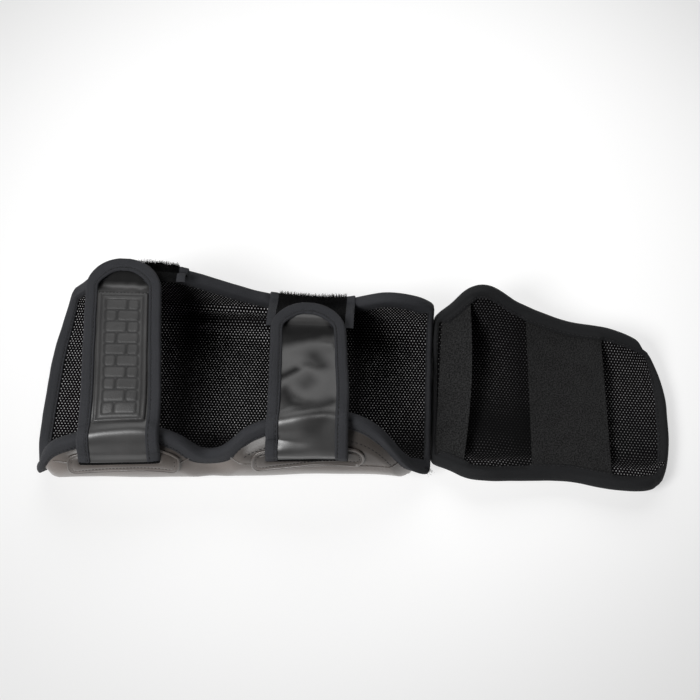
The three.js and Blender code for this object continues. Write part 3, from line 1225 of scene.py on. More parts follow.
@dataclass
class Piping:
    """A thin cord under the leather along a line, which shows as a raised rim."""

    radius: float
    sides: int = 8

    def build(
        self, name: str, spots: Sequence[Vector], ups: Sequence[Vector], closed: bool
    ) -> bpy.types.Object:
        """Builds the cord.

        Args:
            name: Name of the piece.
            spots: Points along its middle, in millimetres.
            ups: Direction out of the leather at each point.
            closed: Whether the last point leads back to the first.

        Returns:
            The piece.
        """
        count = len(spots)

        def place(along: float, across: float) -> Vector:
            """A point of the cord's face.

            Args:
                along: Number of the point.
                across: Place round the cord.

            Returns:
                The point.
            """
            k = round(along)
            before = spots[(k - 1) % count if closed else max(k - 1, 0)]
            after = spots[(k + 1) % count if closed else min(k + 1, count - 1)]
            up = ups[k % count]
            side = (after - before).cross(up).normalized()
            turned = side * math.cos(across) + up * math.sin(across)
            return spots[k % count] + turned * self.radius

        body = Body([float(k) for k in range(count + closed)], self.sides + 1)
        body.lay(lambda _: (0.0, 2 * math.pi), place)
        body.weld()
        bmesh.ops.holes_fill(body.mesh, edges=body.mesh.edges[:], sides=0)
        bmesh.ops.recalc_face_normals(body.mesh, faces=body.mesh.faces[:])
        return body.settle(name, "rim", Slot.MATTE_LEATHER)


@dataclass
class Stuffing:
    """A cloth run that swells a padded cover between the lines where it is held."""

    pressure: float = 4.0
    frames: int = 18
    limit: float = 4.0

    def swell(self, piece: bpy.types.Object, hold: Callable[[float, float], float]) -> None:
        """Swells the outer face of a cover and leaves the result in its mesh.

        Args:
            piece: The cover.
            hold: How firmly a place of the pattern is held, up to 1.
        """
        data, scene = piece.data, bpy.context.scene
        keys = ("along", "across", "outer")
        layers = [[item.value for item in data.attributes[key].data] for key in keys]
        group = piece.vertex_groups.new(name="held")
        for i, (x, s, outer) in enumerate(zip(*layers)):
            group.add([i], hold(x, s) if outer else 1.0, "REPLACE")
        cloth = piece.modifiers.new("swell", "CLOTH")
        settings = cloth.settings
        settings.use_pressure, settings.uniform_pressure_force = True, self.pressure
        settings.vertex_group_mass = group.name
        settings.effector_weights.gravity = 0.0
        settings.quality = 4
        cloth.point_cache.frame_start, cloth.point_cache.frame_end = 1, self.frames
        for step in range(1, self.frames + 1):
            scene.frame_set(step)
        shown = piece.evaluated_get(bpy.context.evaluated_depsgraph_get())
        moved = [vert.co.copy() for vert in shown.data.vertices]
        piece.modifiers.remove(cloth)
        piece.vertex_groups.remove(group)
        scene.frame_set(1)
        for vert, spot in zip(data.vertices, moved):
            way = spot - vert.co
            vert.co += way * min(1.0, self.limit * MM / max(way.length, 1e-9))
            vert.co.z = max(vert.co.z, 0.0)
        data.update()


@dataclass
class PaddedHalf:
    """A half of the guard: a padded leather cover, a mesh lining and a tape round the rim."""

    name: str
    trough: Trough
    fold: Callable[[float, float], float]
    tone: Callable[[float, float], float]
    seam: Callable[[float, float], float]
    leg: float
    ankle_end: float
    bands: tuple["ElasticBand", ...] = ()
    patches: tuple[Callable[[float, float], float], ...] = ()
    tabs: tuple["LoopTab", ...] = ()
    belly: Callable[[float, float], float] = lambda x, s: 0.0
    edge_finish: str = "tape"
    step: float = 3.0
    columns: int = 96
    tape_bulge: float = 3.2
    tape_step: float = 2.4

    def build(self) -> None:
        """Builds the half."""
        self.build_pad()
        self.build_lining()
        self.build_binding()

    def skin(self, x: float, s: float) -> float:
        """Depth of the leather, drawn in along its seams.

        Args:
            x: Station along the guard.
            s: Length round the section.

        Returns:
            The depth.
        """
        cut = self.trough.table.at(x)
        depth = self.trough.outer(x, s)
        wall = ease(abs(s), cut.base + 6, cut.base + 20)
        soft = 0.5 * wall * ripple(x / 37, s / 29, 5.0)
        room = depth - (LINING + GAP + EDGE_PAD)
        return depth + clamp(room / 4, 0.0, 1.0) * (self.belly(x, s) + soft - 1.1 * self.seam(x, s))

    def hold(self, x: float, s: float) -> float:
        """How firmly the leather is held at the rim, on seams, below patches and on the floor.

        Args:
            x: Station along the guard.
            s: Length round the section.

        Returns:
            The hold, up to 1.
        """
        trough = self.trough
        side = Side.NEAR if s < 0 else Side.FAR
        room = min(x - trough.start, trough.end - x, trough.reach(x, side) - abs(s))
        holds = [1 - ease(room, self.leg - 1.0, self.leg + 7.0), self.seam(x, s)]
        holds += [patch(x, s) for patch in self.patches]
        holds.append(1 - ease(abs(s), trough.table.at(x).base - 4, trough.table.at(x).base + 6))
        return clamp(max(holds), 0.0, 1.0)

    def build_pad(self) -> bpy.types.Object:
        """Builds the padded cover.

        Returns:
            The piece.
        """
        trough = self.trough
        body = Body(trough.stations(self.step), self.columns)
        body.lay(trough.limits, lambda x, s: trough.place(x, s, LINING + GAP + self.fold(x, s)))
        body.back(lambda x, s: trough.place(x, s, self.skin(x, s)))
        # Painted shade, darker up the walls towards the rim.
        body.colour(trough.painted_shade)
        node = f"{self.name}_pad"
        piece = body.settle(f"{node}_cover", "wall", Slot.MATTE_LEATHER, [node])
        Stuffing().swell(piece, self.hold)
        return piece

    def build_lining(self) -> bpy.types.Object:
        """Builds the lining.

        Returns:
            The piece.
        """
        trough = self.trough
        stations = trough.stations(self.step)
        body = Body(stations, self.columns)
        body.lay(trough.limits, lambda x, s: trough.place(x, s, self.fold(x, s)))
        # Painted light and shade on the lining's points.
        body.colour(self.tone)
        body.back(lambda x, s: trough.place(x, s, LINING + self.fold(x, s)))
        node = f"{self.name}_lining"
        piece = body.settle(f"{node}_cloth", "mesh", Slot.LINING_MESH, [node])
        widths = [high - low for low, high in map(trough.limits, stations)]
        steps = [b - a for a, b in zip(stations, stations[1:])]
        area = sum(w * d for w, d in zip(widths, steps)) * MM * MM
        flat = ((trough.end - trough.start) * MM, max(widths) * MM)
        return piece

    def build_binding(self) -> None:
        """Builds the tape round the rim and its stitches."""
        tape = Tape(LINING + GAP + EDGE_PAD, self.leg, self.tape_bulge)
        rim = self.trough.rim(self.tape_step)
        ways = (self.trough.place, self.over_bands, self.trim)
        edging = Edging(tape, rim, True, *ways, len(self.name), self.edge_finish)
        edging.build(f"{self.name}_binding_tape", f"{self.name}_binding")
        edging.stitches(f"{self.name}_binding_stitches")

    def trim(self, x: float, s: float, away: float) -> float:
        """Distance from the rim, drawn in where the tapes of the halves meet and below the tabs.

        Args:
            x: Station along the guard.
            s: Length round the section.
            away: Distance outward from the rim.

        Returns:
            The distance in place.
        """
        near = 1 - ease(abs(x - self.ankle_end), 1.0, 6.0)
        drawn = away * (1 - near * (0.2 if away > 0 else 0.6))
        pressed = max((tab.over(x) for tab in self.tabs), default=0.0)
        return drawn * (1 - 0.6 * pressed) if s > 0 and away > 0 else drawn

    def over_bands(self, x: float, s: float, away: float, h: float) -> float:
        """Depth of the tape, raised where it holds the end of an elastic band.

        Args:
            x: Station along the guard.
            s: Length round the section.
            away: Distance outward from the rim.
            h: Depth in the tape's profile.

        Returns:
            The depth in place.
        """
        if h >= 0:
            return h
        side = Side.NEAR if s < 0 else Side.FAR
        rise = max((band.inside(x, side) for band in self.bands), default=0.0)
        return h - 1.7 * rise * ease(-away, 2.5, 5.0)


@dataclass
class ElasticBand:
    """An elastic band drawn across the foot hollow, its ends sewn under the tape.

    SEWN gives the way of an end off the wall: distances from the edge with their depths.
    """

    SEWN = ((3.5, -0.35), (7.4, -0.6), (12.0, -2.2))

    name: str
    start: float
    end: float
    skew: float
    trough: Trough
    bow: float = 0.0
    thickness: float = 1.3

    def inside(self, x: float, side: Side) -> float:
        """1 at stations where the band's end lies on a wall, 0 away from it.

        Args:
            x: Station along the guard.
            side: The wall.

        Returns:
            The share.
        """
        shift = -side.value * self.skew / 2
        low, high = self.start + shift, self.end + shift
        return ease(x, low - 3, low + 1) * (1 - ease(x, high - 1, high + 3))

    def way(self, x: float) -> list[Vector]:
        """Points along the band at a station: under one tape, across, and under the other.

        Args:
            x: Station along the guard.

        Returns:
            The points.
        """
        shifted = {side: x - side.value * self.skew / 2 for side in Side}
        ends = []
        for side in Side:
            edge = self.trough.reach(shifted[side], side)
            spots = [(edge - inset, h) for inset, h in self.SEWN]
            ends.append([self.trough.place(shifted[side], side.value * s, h) for s, h in spots])
        near, far = ends[0], ends[1][::-1]
        middle = [near[-1].lerp(far[0], share) for share in (0.2, 0.5, 0.8)]
        return [*near, *middle, *far]

    def build(self) -> bpy.types.Object:
        """Builds the band.

        Returns:
            The piece.
        """
        half = (self.end - self.start) / 2
        centre = (self.start + self.end) / 2
        band = Band(half, lambda q: self.way(centre + q), -1)

        def lay(p: float, q: float, h: float) -> Vector:
            """A point of the band, its free edges bowed between the ends.

            Args:
                p: Length along the strap.
                q: Distance from its middle.
                h: Height over the leather.

            Returns:
                The point.
            """
            share = math.sin(math.pi * clamp(p / band.length, 0.0, 1.0))
            wave = 0.25 * ripple(p / 16, q / 9, centre) * share
            point = band.place(p, q, h + wave)
            return point + Vector((self.bow * share * ease(q, -half, half), 0.0, 0.0))

        body = Body(spread(0.0, band.length, 90), 22)
        body.lay(lambda _: (-half, half), lambda p, q: lay(p, q, self.thickness))
        body.back(lambda p, q: lay(p, q, 0.0))
        piece = body.settle(f"{self.name}_band", "elastic", Slot.ELASTIC_BAND, [self.name])
        flat = (2 * half * MM, band.length * MM)
        return piece


@dataclass
class Hinge:
    """The plain web under the ankle that joins the two halves."""

    low: float = HINGE_LOW
    high: float = 22.0
    start: float = HINGE_START
    slope_end: float = 71.2
    end: float = 80.5
    thickness: float = 2.2
    sunk: float = 0.6

    def build(self, shin: Trough, instep: Trough) -> bpy.types.Object:
        """Builds the web from below one tape to below the other.

        Args:
            shin: The shin half.
            instep: The instep half.

        Returns:
            The piece.
        """
        held = LINING + GAP + EDGE_PAD + TAPE + TAPE_GAP + GAP
        heights = [shin.lift - held, instep.lift - held]

        def lay(x: float, y: float, h: float) -> Vector:
            """A point of the web."""
            share = ease(x, self.start, self.slope_end)
            return Vector((x, y, blend(*heights, share) - self.sunk - h))

        body = Body(spread(self.start, self.end, 24), 40)
        body.lay(lambda _: (self.low, self.high), lambda x, y: lay(x, y, 0.0))
        body.back(lambda x, y: lay(x, y, self.thickness - self.sunk))
        piece = body.settle("instep_hinge_web", "wall", Slot.MATTE_LEATHER, ["instep_hinge"])
        flat = ((self.end - self.start) * MM, (self.high - self.low) * MM)
        return piece


def box_gap(a: float, b: float, half_a: float, half_b: float, corner: float) -> float:
    """Signed distance from a point to the outline of a rectangle with rounded corners.

    Args:
        a: First coordinate from the middle.
        b: Second coordinate from the middle.
        half_a: Half size along the first.
        half_b: Half size along the second.
        corner: Radius of the corners.

    Returns:
        The distance, negative inside.
    """
    out_a, out_b = abs(a) - half_a + corner, abs(b) - half_b + corner
    outside = math.hypot(max(out_a, 0.0), max(out_b, 0.0))
    return outside + min(max(out_a, out_b), 0.0) - corner


def rounded(half: float, corner: float, past: float) -> float:
    """Half width of an end with rounded corners, at a distance past the start of the corner."""
    along = clamp(past / corner, 0.0, 0.985)
    return half - corner * (1 - math.sqrt(1 - along * along))


@dataclass
class LoopTab:
    """A tab of loop pile sewn on the far wall, over its edge and under the end of a strap.

    TURNS gives the way over the edge: distances below it with their depths. SEEN is the direction
    in which the tab's crest stands out, and FIBRES the number of its loose fibres.
    """

    TURNS = ((8.5, 9.2), (0.8, 8.6), (-1.1, 6.8), (-1.6, 1.0))
    SEEN = Vector((0.0, 0.87, 0.5))
    FIBRES = 2200

    name: str
    x: float
    half: float
    drops: tuple[float, ...]
    backs: tuple[float, ...]
    thickness: float = 1.4
    lift: float = 1.2
    hem: float = 6.0

    def way(self, q: float, shin: Trough, strap: Band) -> list[Vector]:
        """Points along the tab at a distance from its middle.

        Args:
            q: Distance from its middle.
            shin: The shin half.
            strap: Band of the strap above.

        Returns:
            The points.
        """
        x = self.x + q
        far = shin.table.at(x).far
        spots = [shin.table.at(self.x).far - drop for drop in self.drops]
        wall = [shin.place(x, s, shin.outer(x, s) + self.lift) for s in spots]
        edge = [shin.place(x, far - drop, h) for drop, h in self.TURNS]
        below = -(TAPE + TAPE_GAP + 0.6 + self.thickness)
        under = [strap.place(strap.length - back, 0.0, below) for back in self.backs]
        return [*wall, *edge, *(Vector((x, point.y, point.z)) for point in under)]

    def over(self, x: float) -> float:
        """1 at stations below the tab, 0 away from it."""
        return 1 - ease(abs(x - self.x), self.half + 0.8, self.half + 5)

    def held(self, shin: Trough) -> Callable[[float, float], float]:
        """How firmly the tab holds each place of the cover below it.

        Args:
            shin: The shin half.

        Returns:
            The hold at a station and a length round the section.
        """

        def hold(x: float, s: float) -> float:
            """1 below the tab, 0 away from it."""
            low = shin.table.at(x).far - self.drops[0]
            return ease(s, low - 18, low - 7) * self.over(x)

        return hold

    def build(self, shin: Trough, strap: Band) -> None:
        """Builds the tab, its hems and its fuzz.

        Args:
            shin: The shin half.
            strap: Band of the strap above.
        """
        band = Band(self.half, lambda q: self.way(q, shin, strap), 1)

        def lay(p: float, q: float, h: float) -> Vector:
            """A point of the tab, roughened on its pile."""
            loops = 0.4 * ripple(p / 1.9, q / 1.9, self.x) * (h > 0)
            return band.place(p, q, h + loops)

        rows = spread(0.0, band.length, round(band.length / 1.5))
        body = Body(rows, round(2 * self.half / 1.5))
        body.lay(lambda _: (-self.half, self.half), lambda p, q: lay(p, q, self.thickness))
        body.back(lambda p, q: lay(p, q, 0.0))
        piece = body.settle(f"{self.name}_pile", "pile", Slot.LOOP_PILE, [self.name])
        extras = [self.build_hems(band, rows), self.build_fuzz(band)]
        flat = (2 * self.half * MM, band.length * MM)

    def build_hems(self, band: Band, rows: Sequence[float]) -> bpy.types.Object:
        """Builds the taped side edges of the tab.

        Args:
            band: Band of the tab.
            rows: Places along it.

        Returns:
            The piece.
        """
        mesh = bmesh.new()
        for side in (-1, 1):
            ends = sorted((side * (self.half - self.hem), side * (self.half + 0.8)))
            hem = Body(rows, 8)

            def crown(q: float, ends: Sequence[float] = tuple(ends)) -> float:
                """Height of the hem's rounded face."""
                middle, half = sum(ends) / 2, (ends[1] - ends[0]) / 2
                return 0.3 * math.sqrt(max(1 - ((q - middle) / half) ** 2, 0.0))

            top = self.thickness + 0.05
            hem.lay(lambda _: tuple(ends), lambda p, q: band.place(p, q, top + crown(q)))
            hem.back(lambda p, q: band.place(p, q, top - 0.35))
            part = bpy.data.meshes.new("hem")
            hem.mesh.to_mesh(part)
            hem.mesh.free()
            mesh.from_mesh(part)
            bpy.data.meshes.remove(part)
        return settle(mesh, f"{self.name}_hems", "tape", Slot.BINDING_TAPE)

    def build_fuzz(self, band: Band) -> bpy.types.Object:
        """Builds the loose fibres that stand off the pile.

        Args:
            band: Band of the tab.

        Returns:
            The piece.
        """
        draw = random.Random(len(self.name))
        mesh = bmesh.new()
        places = spread(0.0, band.length, 60)
        crest = max(places, key=lambda p: band.place(p, 0.0, 0.0).dot(self.SEEN))
        for k in range(self.FIBRES):
            tall = k % 2 == 0
            p = crest + draw.gauss(0.0, 3.0) if tall else band.length * draw.uniform(0.2, 0.98)
            q = (self.half - self.hem) * draw.uniform(-0.98, 0.98)
            root = to_row(band.place(p, q, self.thickness - 0.2))
            reach = draw.uniform(0.8, 3.2) if tall else draw.uniform(0.5, 1.7)
            tip = to_row(band.place(p, q, self.thickness + reach))
            tip += Vector([draw.gauss(0.0, 0.6) * MM for _ in range(3)])
            fibre(mesh, root, tip, (0.17 if tall else 0.11) * MM)
        return settle(mesh, f"{self.name}_fuzz", "pile", Slot.LOOP_PILE)


def fibre(mesh: bmesh.types.BMesh, root: Vector, tip: Vector, radius: float) -> None:
    """Adds a tapered fibre between two points, in metres.

    Args:
        mesh: Mesh that takes it.
        root: Its foot.
        tip: Its tip.
        radius: Radius at the foot.
    """
    way = tip - root
    turn = way.to_track_quat("Z", "Y").to_matrix().to_4x4()
    turn.translation = (root + tip) / 2
    sizes = {"radius1": radius, "radius2": radius * 0.3, "depth": way.length}
    bmesh.ops.create_cone(mesh, cap_ends=True, segments=3, matrix=turn, **sizes)


@dataclass
class Strap:
    """A strap that rises on the near wall, bends over its edge and lies across the hollow.

    TURNS gives the way over the edge: distances below it with their depths. PATCH is the height of
    the strap over the wall's leather, ROOT its length inside the patch, and DIVE how deep it goes
    in there, over the lengths DIVE_RUN. SLIT gives the two edges, past the root, of the dark sheet
    that paints the shadow in the slit.
    """

    TURNS = ((1.0, 12.5), (-5.0, 9.5), (-7.0, 2.0))
    PATCH = 0.7 + 1.5 + 0.6
    ROOT = 2.5
    DIVE = 4.3
    DIVE_RUN = (-2.0, 4.5)
    SLIT = (1.8, 5.0)

    name: str
    x: float
    lean: float
    drops: tuple[float, ...]
    anchor_x: float
    anchor_drop: float
    across: tuple[tuple[float, float], ...]
    tab: LoopTab
    shin: Trough
    relief: Callable[[float, float, float], float]
    painted_shade: Callable[[float, float, float], float]
    thickness: float = 2.5
    half: float = 30.0
    end_half: float = 28.0
    leg: float = 8.0
    end_run: float = 27.0
    anchor_half: tuple[float, float] = (43.0, 8.0)
    anchor_corner: float = 7.5

    def __post_init__(self) -> None:
        """Works out the strap's way."""
        self.band = Band(self.half + 3, self.way, -1)

    def way(self, q: float) -> list[Vector]:
        """Points along the strap at a distance from its middle.

        Args:
            q: Distance from its middle.

        Returns:
            The points.
        """
        x, shin = self.x + q, self.shin
        near = shin.table.at(x).near
        clear = self.PATCH + TAPE + TAPE_GAP + GAP
        spots = [drop - shin.table.at(self.x).near for drop in self.drops]
        wall = [shin.place(x, s, shin.outer(x, s) + clear) for s in spots]
        edge = [shin.place(x, drop - near, h) for drop, h in self.TURNS]
        start, end = self.across[0][0], self.across[-1][0]
        drawn = [x + self.lean * (y - start) / (end - start) for y, _ in self.across]
        return [*wall, *edge, *(Vector((a, *yz)) for a, yz in zip(drawn, self.across))]

    def lay(self, p: float, q: float, h: float) -> Vector:
        """A point of the strap, whose root dives into its patch."""
        return self.band.place(p, q, h - self.DIVE * (1 - ease(p, *self.DIVE_RUN)))

    def limits(self, p: float) -> tuple[float, float]:
        """The two edges of the strap, round at its end.

        Args:
            p: Length along the strap.

        Returns:
            The edges on both sides of the middle.
        """
        length = self.band.length
        side = blend(self.half, self.end_half, p / length)
        half = rounded(side, self.end_run, p - length + self.end_run)
        return -half, half

    def rows(self) -> list[float]:
        """Places along the strap, close together at its end.

        Returns:
            The places.
        """
        straight = self.band.length - self.end_run
        turn = [self.end_run * math.sin(a) for a in spread(0.0, math.pi / 2, 20)]
        return spread(-self.ROOT, straight, 100)[:-1] + [straight + t for t in turn]

    def build(self) -> None:
        """Builds the strap, its tape, its patch and its tab."""
        self.build_strap()
        self.build_binding()
        self.build_anchor()
        self.tab.build(self.shin, self.band)

    def build_strap(self) -> bpy.types.Object:
        """Builds the leather of the strap.

        Returns:
            The piece.
        """
        body = Body(self.rows(), 56)
        top, length = self.thickness, self.band.length
        body.lay(self.limits, lambda p, q: self.lay(p, q, top + self.relief(p, q, length)))
        # Painted shade on the strap, in its folds and hollows.
        body.colour(lambda p, q: self.painted_shade(p, q, length))
        body.back(lambda p, q: self.lay(p, q, min(0.0, self.relief(p, q, length) + 1.4)))
        node = f"{self.name}_strap"
        piece = body.settle(f"{node}_leather", "gloss", Slot.GLOSS_LEATHER, [node])
        flat = (2 * self.half * MM, (self.band.length + self.ROOT) * MM)
        return piece

    def build_binding(self) -> None:
        """Builds the tape along the sides and round the end."""
        rows = self.rows()
        low = [(p, self.limits(p)[0]) for p in rows]
        high = [(p, self.limits(p)[1]) for p in reversed(rows)]
        tape = Tape(self.thickness, self.leg + 0.2, 2.3)
        path = evened([*low, *high], 2.0)
        edging = Edging(tape, path, False, self.lay, trim=self.trim, seed=self.x)
        edging.build(f"{self.name}_strap_binding_tape", f"{self.name}_strap_binding")
        edging.stitches(f"{self.name}_strap_stitches")

    def trim(self, p: float, q: float, away: float) -> float:
        """Distance from the edge, where the tape widens round the end."""
        wide = ease(p, self.band.length - 24, self.band.length - 6)
        return away * (1 + 0.3 * wide) if away < 0 else away

    def anchor_middle(self, x: float) -> float:
        """Middle of the patch at a station."""
        near = self.shin.table.at(x).near + self.shin.table.at(self.anchor_x).near
        return self.anchor_drop - near / 2

    def anchor_gap(self, x: float, s: float) -> float:
        """Distance from a place on the wall to the outline of the patch, negative inside.

        Args:
            x: Station along the guard.
            s: Length round the section.

        Returns:
            The distance.
        """
        long, tall = self.anchor_half
        gap = s - self.anchor_middle(x)
        return box_gap(x - self.anchor_x, gap, long, tall, self.anchor_corner)

    def held(self, x: float, s: float) -> float:
        """How firmly the patch holds a place of the cover below it."""
        return 1 - ease(self.anchor_gap(x, s), 0.0, 5.0) if s < 0 else 0.0

    def anchor_rows(self, inset: float) -> list[float]:
        """Stations along the patch, close together round its ends.

        Args:
            inset: Distance inside the outline.

        Returns:
            The stations.
        """
        corner = self.anchor_corner - inset
        straight = self.anchor_half[0] - self.anchor_corner
        turn = [corner * math.sin(a) for a in spread(0.0, math.pi / 2, 9)]
        sides = [self.anchor_x + straight + t for t in turn]
        rows = [2 * self.anchor_x - x for x in reversed(sides)]
        return rows + spread(self.anchor_x - straight, self.anchor_x + straight, 90)[1:-1] + sides

    def anchor_limits(self, x: float, inset: float) -> tuple[float, float]:
        """The two edges of the patch, or of a line inside it.

        Args:
            x: Station along the guard.
            inset: Distance inside the outline.

        Returns:
            The edge towards the rim and the edge towards the floor.
        """
        long, tall = self.anchor_half
        past = abs(x - self.anchor_x) - long + self.anchor_corner
        half = rounded(tall - inset, self.anchor_corner - inset, past)
        middle = self.anchor_middle(x)
        return max(middle - half, 12 + inset - self.shin.table.at(x).near), middle + half

    def anchor_ring(self, inset: float, h: float, step: float) -> list[Vector]:
        """Points round the patch at an inset from its outline.

        Args:
            inset: Distance inside the outline.
            h: Height over the leather.
            step: Wanted distance between points.

        Returns:
            The points.
        """
        rows = self.anchor_rows(inset)
        low = [(x, self.anchor_limits(x, inset)[0]) for x in rows]
        high = [(x, self.anchor_limits(x, inset)[1]) for x in reversed(rows)]
        ring = evened([*low, *high, low[0]], step)[:-1]
        return [self.shin.place(x, s, self.shin.outer(x, s) + h) for x, s in ring]

    def build_anchor(self) -> bpy.types.Object:
        """Builds the patch on the near wall, its rim, its stitches and the painted shadow in the
        slit for the strap.

        Returns:
            The piece.
        """
        shin = self.shin
        slot = self.drops[0] - shin.table.at(self.x).near

        def face(x: float, s: float) -> Vector:
            """A point of the patch's face.

            Args:
                x: Station along the guard.
                s: Length round the section.

            Returns:
                The point.
            """
            gap = self.anchor_gap(x, s)
            groove = 0.8 * hump(gap, -3.0, 0.7)
            inside = 1 - ease(abs(x - self.x), self.half, self.half + 3)
            slit = 1.6 * hump(s, slot + 3.6, 1.5) * inside
            rise = 1.7 * (1 - ease(gap, -1.6, 0.2)) - groove - slit
            return shin.place(x, s, shin.outer(x, s) + 0.35 + rise)

        body = Body(self.anchor_rows(0.0), 30)
        body.lay(lambda x: self.anchor_limits(x, 0.0), face)
        body.back(lambda x, s: shin.place(x, s, shin.outer(x, s) + 0.1))
        # Painted shade on the patch, as on the wall round it.
        body.colour(shin.painted_shade)
        node = f"{self.name}_strap_anchor"
        piece = body.settle(f"{node}_patch", "wall", Slot.MATTE_LEATHER, [node])
        flat = (2 * self.anchor_half[0] * MM, 2 * self.anchor_half[1] * MM)
        ring, above = (self.anchor_ring(0.5, h, 1.6) for h in (1.25, 2.25))
        ups = [(b - a).normalized() for a, b in zip(ring, above)]
        rim = Piping(1.1).build(f"{node}_rim", ring, ups, True)
        sewing = Sewing()
        row, lifted = (self.anchor_ring(3.0, h, Sewing.PITCH * 0.8) for h in (1.35, 2.35))
        sewing.loop(row, [b - a for a, b in zip(row, lifted)])
        extras = [rim, sewing.settle(f"{node}_stitches"), self.build_slit_shadow(slot)]
        return piece

    def build_slit_shadow(self, slot: float) -> bpy.types.Object:
        """Builds a dark sheet in the slit that the strap comes out of, as painted shadow.

        Args:
            slot: Where the strap leaves the wall.

        Returns:
            The piece.
        """
        shin = self.shin
        wide = self.half + 1.5
        body = Body(spread(self.x - wide, self.x + wide, 60), 6)

        def lay(x: float, s: float, h: float) -> Vector:
            """A point of the dark sheet that paints the slit's shadow."""
            return shin.place(x, s, shin.outer(x, s) + h)

        low, high = (slot + past for past in self.SLIT)
        body.lay(lambda _: (low, high), lambda x, s: lay(x, s, 1.25))
        body.back(lambda x, s: lay(x, s, 0.6))
        return body.settle(f"{self.name}_strap_anchor_slit_shadow", "pile", Slot.LOOP_PILE)


@dataclass
class Badge:
    """A raised panel on a strap, pressed with a plain frame and courses of blocks."""

    strap: Strap
    half: float = 20.0
    bend: float = 14.0
    end: float = 30.0
    rise: float = 1.4
    pitch: float = 9.4
    block: float = 13.4
    joint: float = 4.0

    def pressed(self, p: float, q: float) -> tuple[float, float]:
        """Height of the panel's edge, and how deep its frame and its courses are pressed.

        Args:
            p: Length along the strap.
            q: Distance from its middle.

        Returns:
            The height in millimetres and the depth from 0 to 1.
        """
        start, stop = self.strap.drops[0] + self.bend, self.strap.band.length - self.end
        middle, half = (start + stop) / 2, (stop - start) / 2
        edge = box_gap(p - middle, q, half, self.half, 2.5)
        height = self.rise * (1 - ease(edge, -1.2, 0.3)) + 0.2
        groove = hump(edge, -3.6, 0.9)
        courses = int((2 * half - 13) / self.pitch)
        course = (p - middle) / self.pitch + courses / 2
        if 0 <= course < courses:
            joint = self.joint if int(course) % 2 else -self.joint
            low, high = (-self.block, joint) if q < joint else (joint, self.block)
            along = (course % 1.0 - 0.5) * self.pitch
            sizes = (self.pitch / 2 - 0.7, (high - low) / 2 - 0.7)
            gap = box_gap(along, q - (low + high) / 2, *sizes, 2.0)
            groove = max(groove, hump(gap, 0.5, 0.95))
        return height, groove

    def relief(self, p: float, q: float) -> float:
        """Height of the panel's face over its back."""
        height, groove = self.pressed(p, q)
        return height - 0.55 * groove

    def build(self) -> bpy.types.Object:
        """Builds the panel and the row of stitches along its top.

        Returns:
            The piece.
        """
        strap = self.strap
        start, stop = strap.drops[0] + self.bend, strap.band.length - self.end
        rows = spread(start, stop, round((stop - start) / 0.7))
        base = strap.thickness + 0.5
        body = Body(rows, round(2 * self.half / 0.7))
        limits = (-self.half, self.half)
        body.lay(lambda _: limits, lambda p, q: strap.lay(p, q, base + self.relief(p, q)))
        # Painted shade in the pressed grooves of the frame and the courses.
        body.colour(lambda p, q: 0.75 * self.pressed(p, q)[1])
        body.back(lambda p, q: strap.lay(p, q, base - 0.3))
        node = "calf_strap_badge"
        piece = body.settle(f"{node}_panel", "panel", Slot.GLOSS_LEATHER, [node])
        sewing = Sewing()
        count = round(2 * self.half / 2.6)
        top = [strap.lay(stop - 1.4, q, base + 1.5) for q in spread(*limits, count)]
        sewing.line(top, [Vector((0.0, 0.0, 1.0))] * count)
        stitches = sewing.settle(f"{node}_stitches")
        flat = (2 * self.half * MM, (stop - start) * MM)
        return piece


@dataclass
class Studio:
    """The pale floor, the soft lights and the camera."""

    aim: Vector = field(default_factory=lambda: Vector((3.0, 33.0, 30.0)))
    azimuth: float = 2.5
    elevation: float = 60.0
    distance: float = 1150.0
    lens: float = 72.0
    sensor: float = 36.0
    surround: float = 0.08

    def build(self) -> None:
        """Builds the stage."""
        self.build_floor()
        self.build_lights()
        self.build_camera()
        bpy.context.scene.view_settings.view_transform = "Standard"

    def build_floor(self) -> None:
        """Builds the floor."""
        mesh = bmesh.new()
        bmesh.ops.create_grid(mesh, x_segments=4, y_segments=4, size=4.0)
        data = bpy.data.meshes.new("floor")
        mesh.to_mesh(data)
        mesh.free()
        data.materials.append(WARDROBE.get("floor"))
        floor = bpy.data.objects.new("floor", data)
        floor.location.z = -0.0004
        bpy.context.scene.collection.objects.link(floor)
        floor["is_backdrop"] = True

    def build_lights(self) -> None:
        """Builds the soft boxes and the even surround."""
        world = bpy.data.worlds.new("surround")
        world.use_nodes = True
        background = world.node_tree.nodes["Background"]
        background.inputs["Color"].default_value = (1.0, 1.0, 1.0, 1.0)
        background.inputs["Strength"].default_value = self.surround
        bpy.context.scene.world = world
        for name, place, size, power in (
            ("front_box", (-1.0, -1.0, 1.4), (0.7, 0.7), 34.0),
            ("back_box", (0.0, 0.95, 1.05), (1.8, 1.2), 10.0),
        ):
            light = bpy.data.lights.new(name, "AREA")
            light.shape, light.energy = "RECTANGLE", power
            light.size, light.size_y = size
            lamp = bpy.data.objects.new(name, light)
            lamp.location = place
            lamp.rotation_euler = (-Vector(place)).to_track_quat("-Z", "Y").to_euler()
            bpy.context.scene.collection.objects.link(lamp)

    def build_camera(self) -> None:
        """Builds the camera at the photograph's angle."""
        side, up = math.radians(self.azimuth), math.radians(self.elevation)
        flat = math.cos(up)
        back = Vector((math.sin(side) * flat, -math.cos(side) * flat, math.sin(up)))
        data = bpy.data.cameras.new("camera")
        data.lens, data.sensor_width, data.sensor_fit = self.lens, self.sensor, "AUTO"
        camera = bpy.data.objects.new("camera", data)
        camera.location = to_row(self.aim) + back * self.distance * MM
        camera.rotation_euler = (-back).to_track_quat("-Z", "Y").to_euler()
        bpy.context.scene.collection.objects.link(camera)
        bpy.context.scene.camera = camera


# Radius of the bend from the front into a wall.
SHIN_BEND = 24.0
INSTEP_BEND = 46.0

